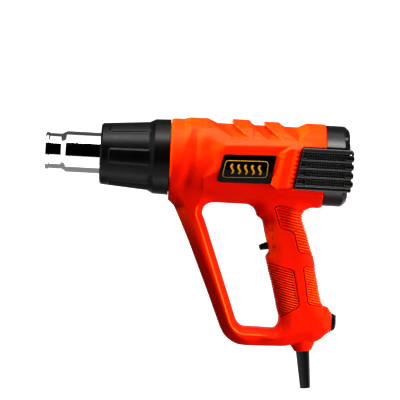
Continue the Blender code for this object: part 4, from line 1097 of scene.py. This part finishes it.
# Temperature dial and cord entry
dial = {"steps": 144, "ridges": 18, "axisZ": -141.0, "stemSteps": 48,
        "skin": [(153.3, 3.05), (153.3, 7.9, .5), (154.5, 7.95, 1.0), (156.5, 6.6, 2.2),
                 (157.5, 3.6, 2), (157.6, 0.01)],
        "stem": [(146.3, 0.01), (146.3, 2.6), (146.7, 3.0), (153.6, 3.0), (153.6, 0.01)]}


def dialRelief(along, angle, outward):
    rim = smoothStep(0.5, 0.9, outward) * smoothStep(153.5, 154.0, along)
    return 0.35 * rim * (0.5 - 0.5 * np.cos(angle * dial["ridges"]))


turnedPiece("heat_dial", dial, 0.4, blackAbs, "dial", "black_abs", "temperature_dial", dialRelief, closed=False,
            put=lambda points: points + np.array([0, 0, dial["axisZ"]]))
stem, quads = turnedSkin(dial["stem"], dial["stemSteps"], closed=False)
stem[:, 2] += dial["axisZ"]
place("heat_dial_stem", meshFrom("heat_dial_stem", stem, quads), blackAbs, "dial", "black_abs")
pointer = bmesh.new()
bmesh.ops.create_cube(pointer, size=1.0)
bmesh.ops.scale(pointer, vec=Vector((0.9, 1.3, 4.4)), verts=pointer.verts)
bmesh.ops.bevel(pointer, geom=list(pointer.edges), offset=0.25, segments=2, affect="EDGES")
bmesh.ops.translate(pointer, vec=Vector((157.2, 0, -136.3)), verts=pointer.verts)
bmesh.ops.scale(pointer, vec=Vector((0.001, 0.001, 0.001)), verts=pointer.verts)
bmesh.ops.translate(pointer, vec=Vector(toolZero), verts=pointer.verts)
pointerMesh = bpy.data.meshes.new("dial_pointer")
pointer.to_mesh(pointerMesh)
place("dial_pointer", pointerMesh, goldInk, "dial", "black_abs")

boot = {"steps": 96, "tip": (133.5, -202.0), "tilt": 7.2,
        "skin": [(0.0, 3.5), (0.0, 4.5, .4), (1.0, 4.68, .6), (34.0, 6.2, .4), (34.6, 6.3),
                 (34.9, 5.4), (47.4, 5.4), (47.4, 3.5)]}


def leaned(points):
    # Stands a turned skin on the boot's tip, along its tilted axis
    lean = math.radians(boot["tilt"])
    along, across, sideways = points.T
    return np.stack([boot["tip"][0] - along * math.sin(lean) + sideways * math.cos(lean), -across,
                     boot["tip"][1] + along * math.cos(lean) + sideways * math.sin(lean)], 1)


turnedPiece("strain_relief", boot, 1.0, softPvc, "housing", "rubber", "cord_boot", put=leaned)
print("dial and cord entry made")
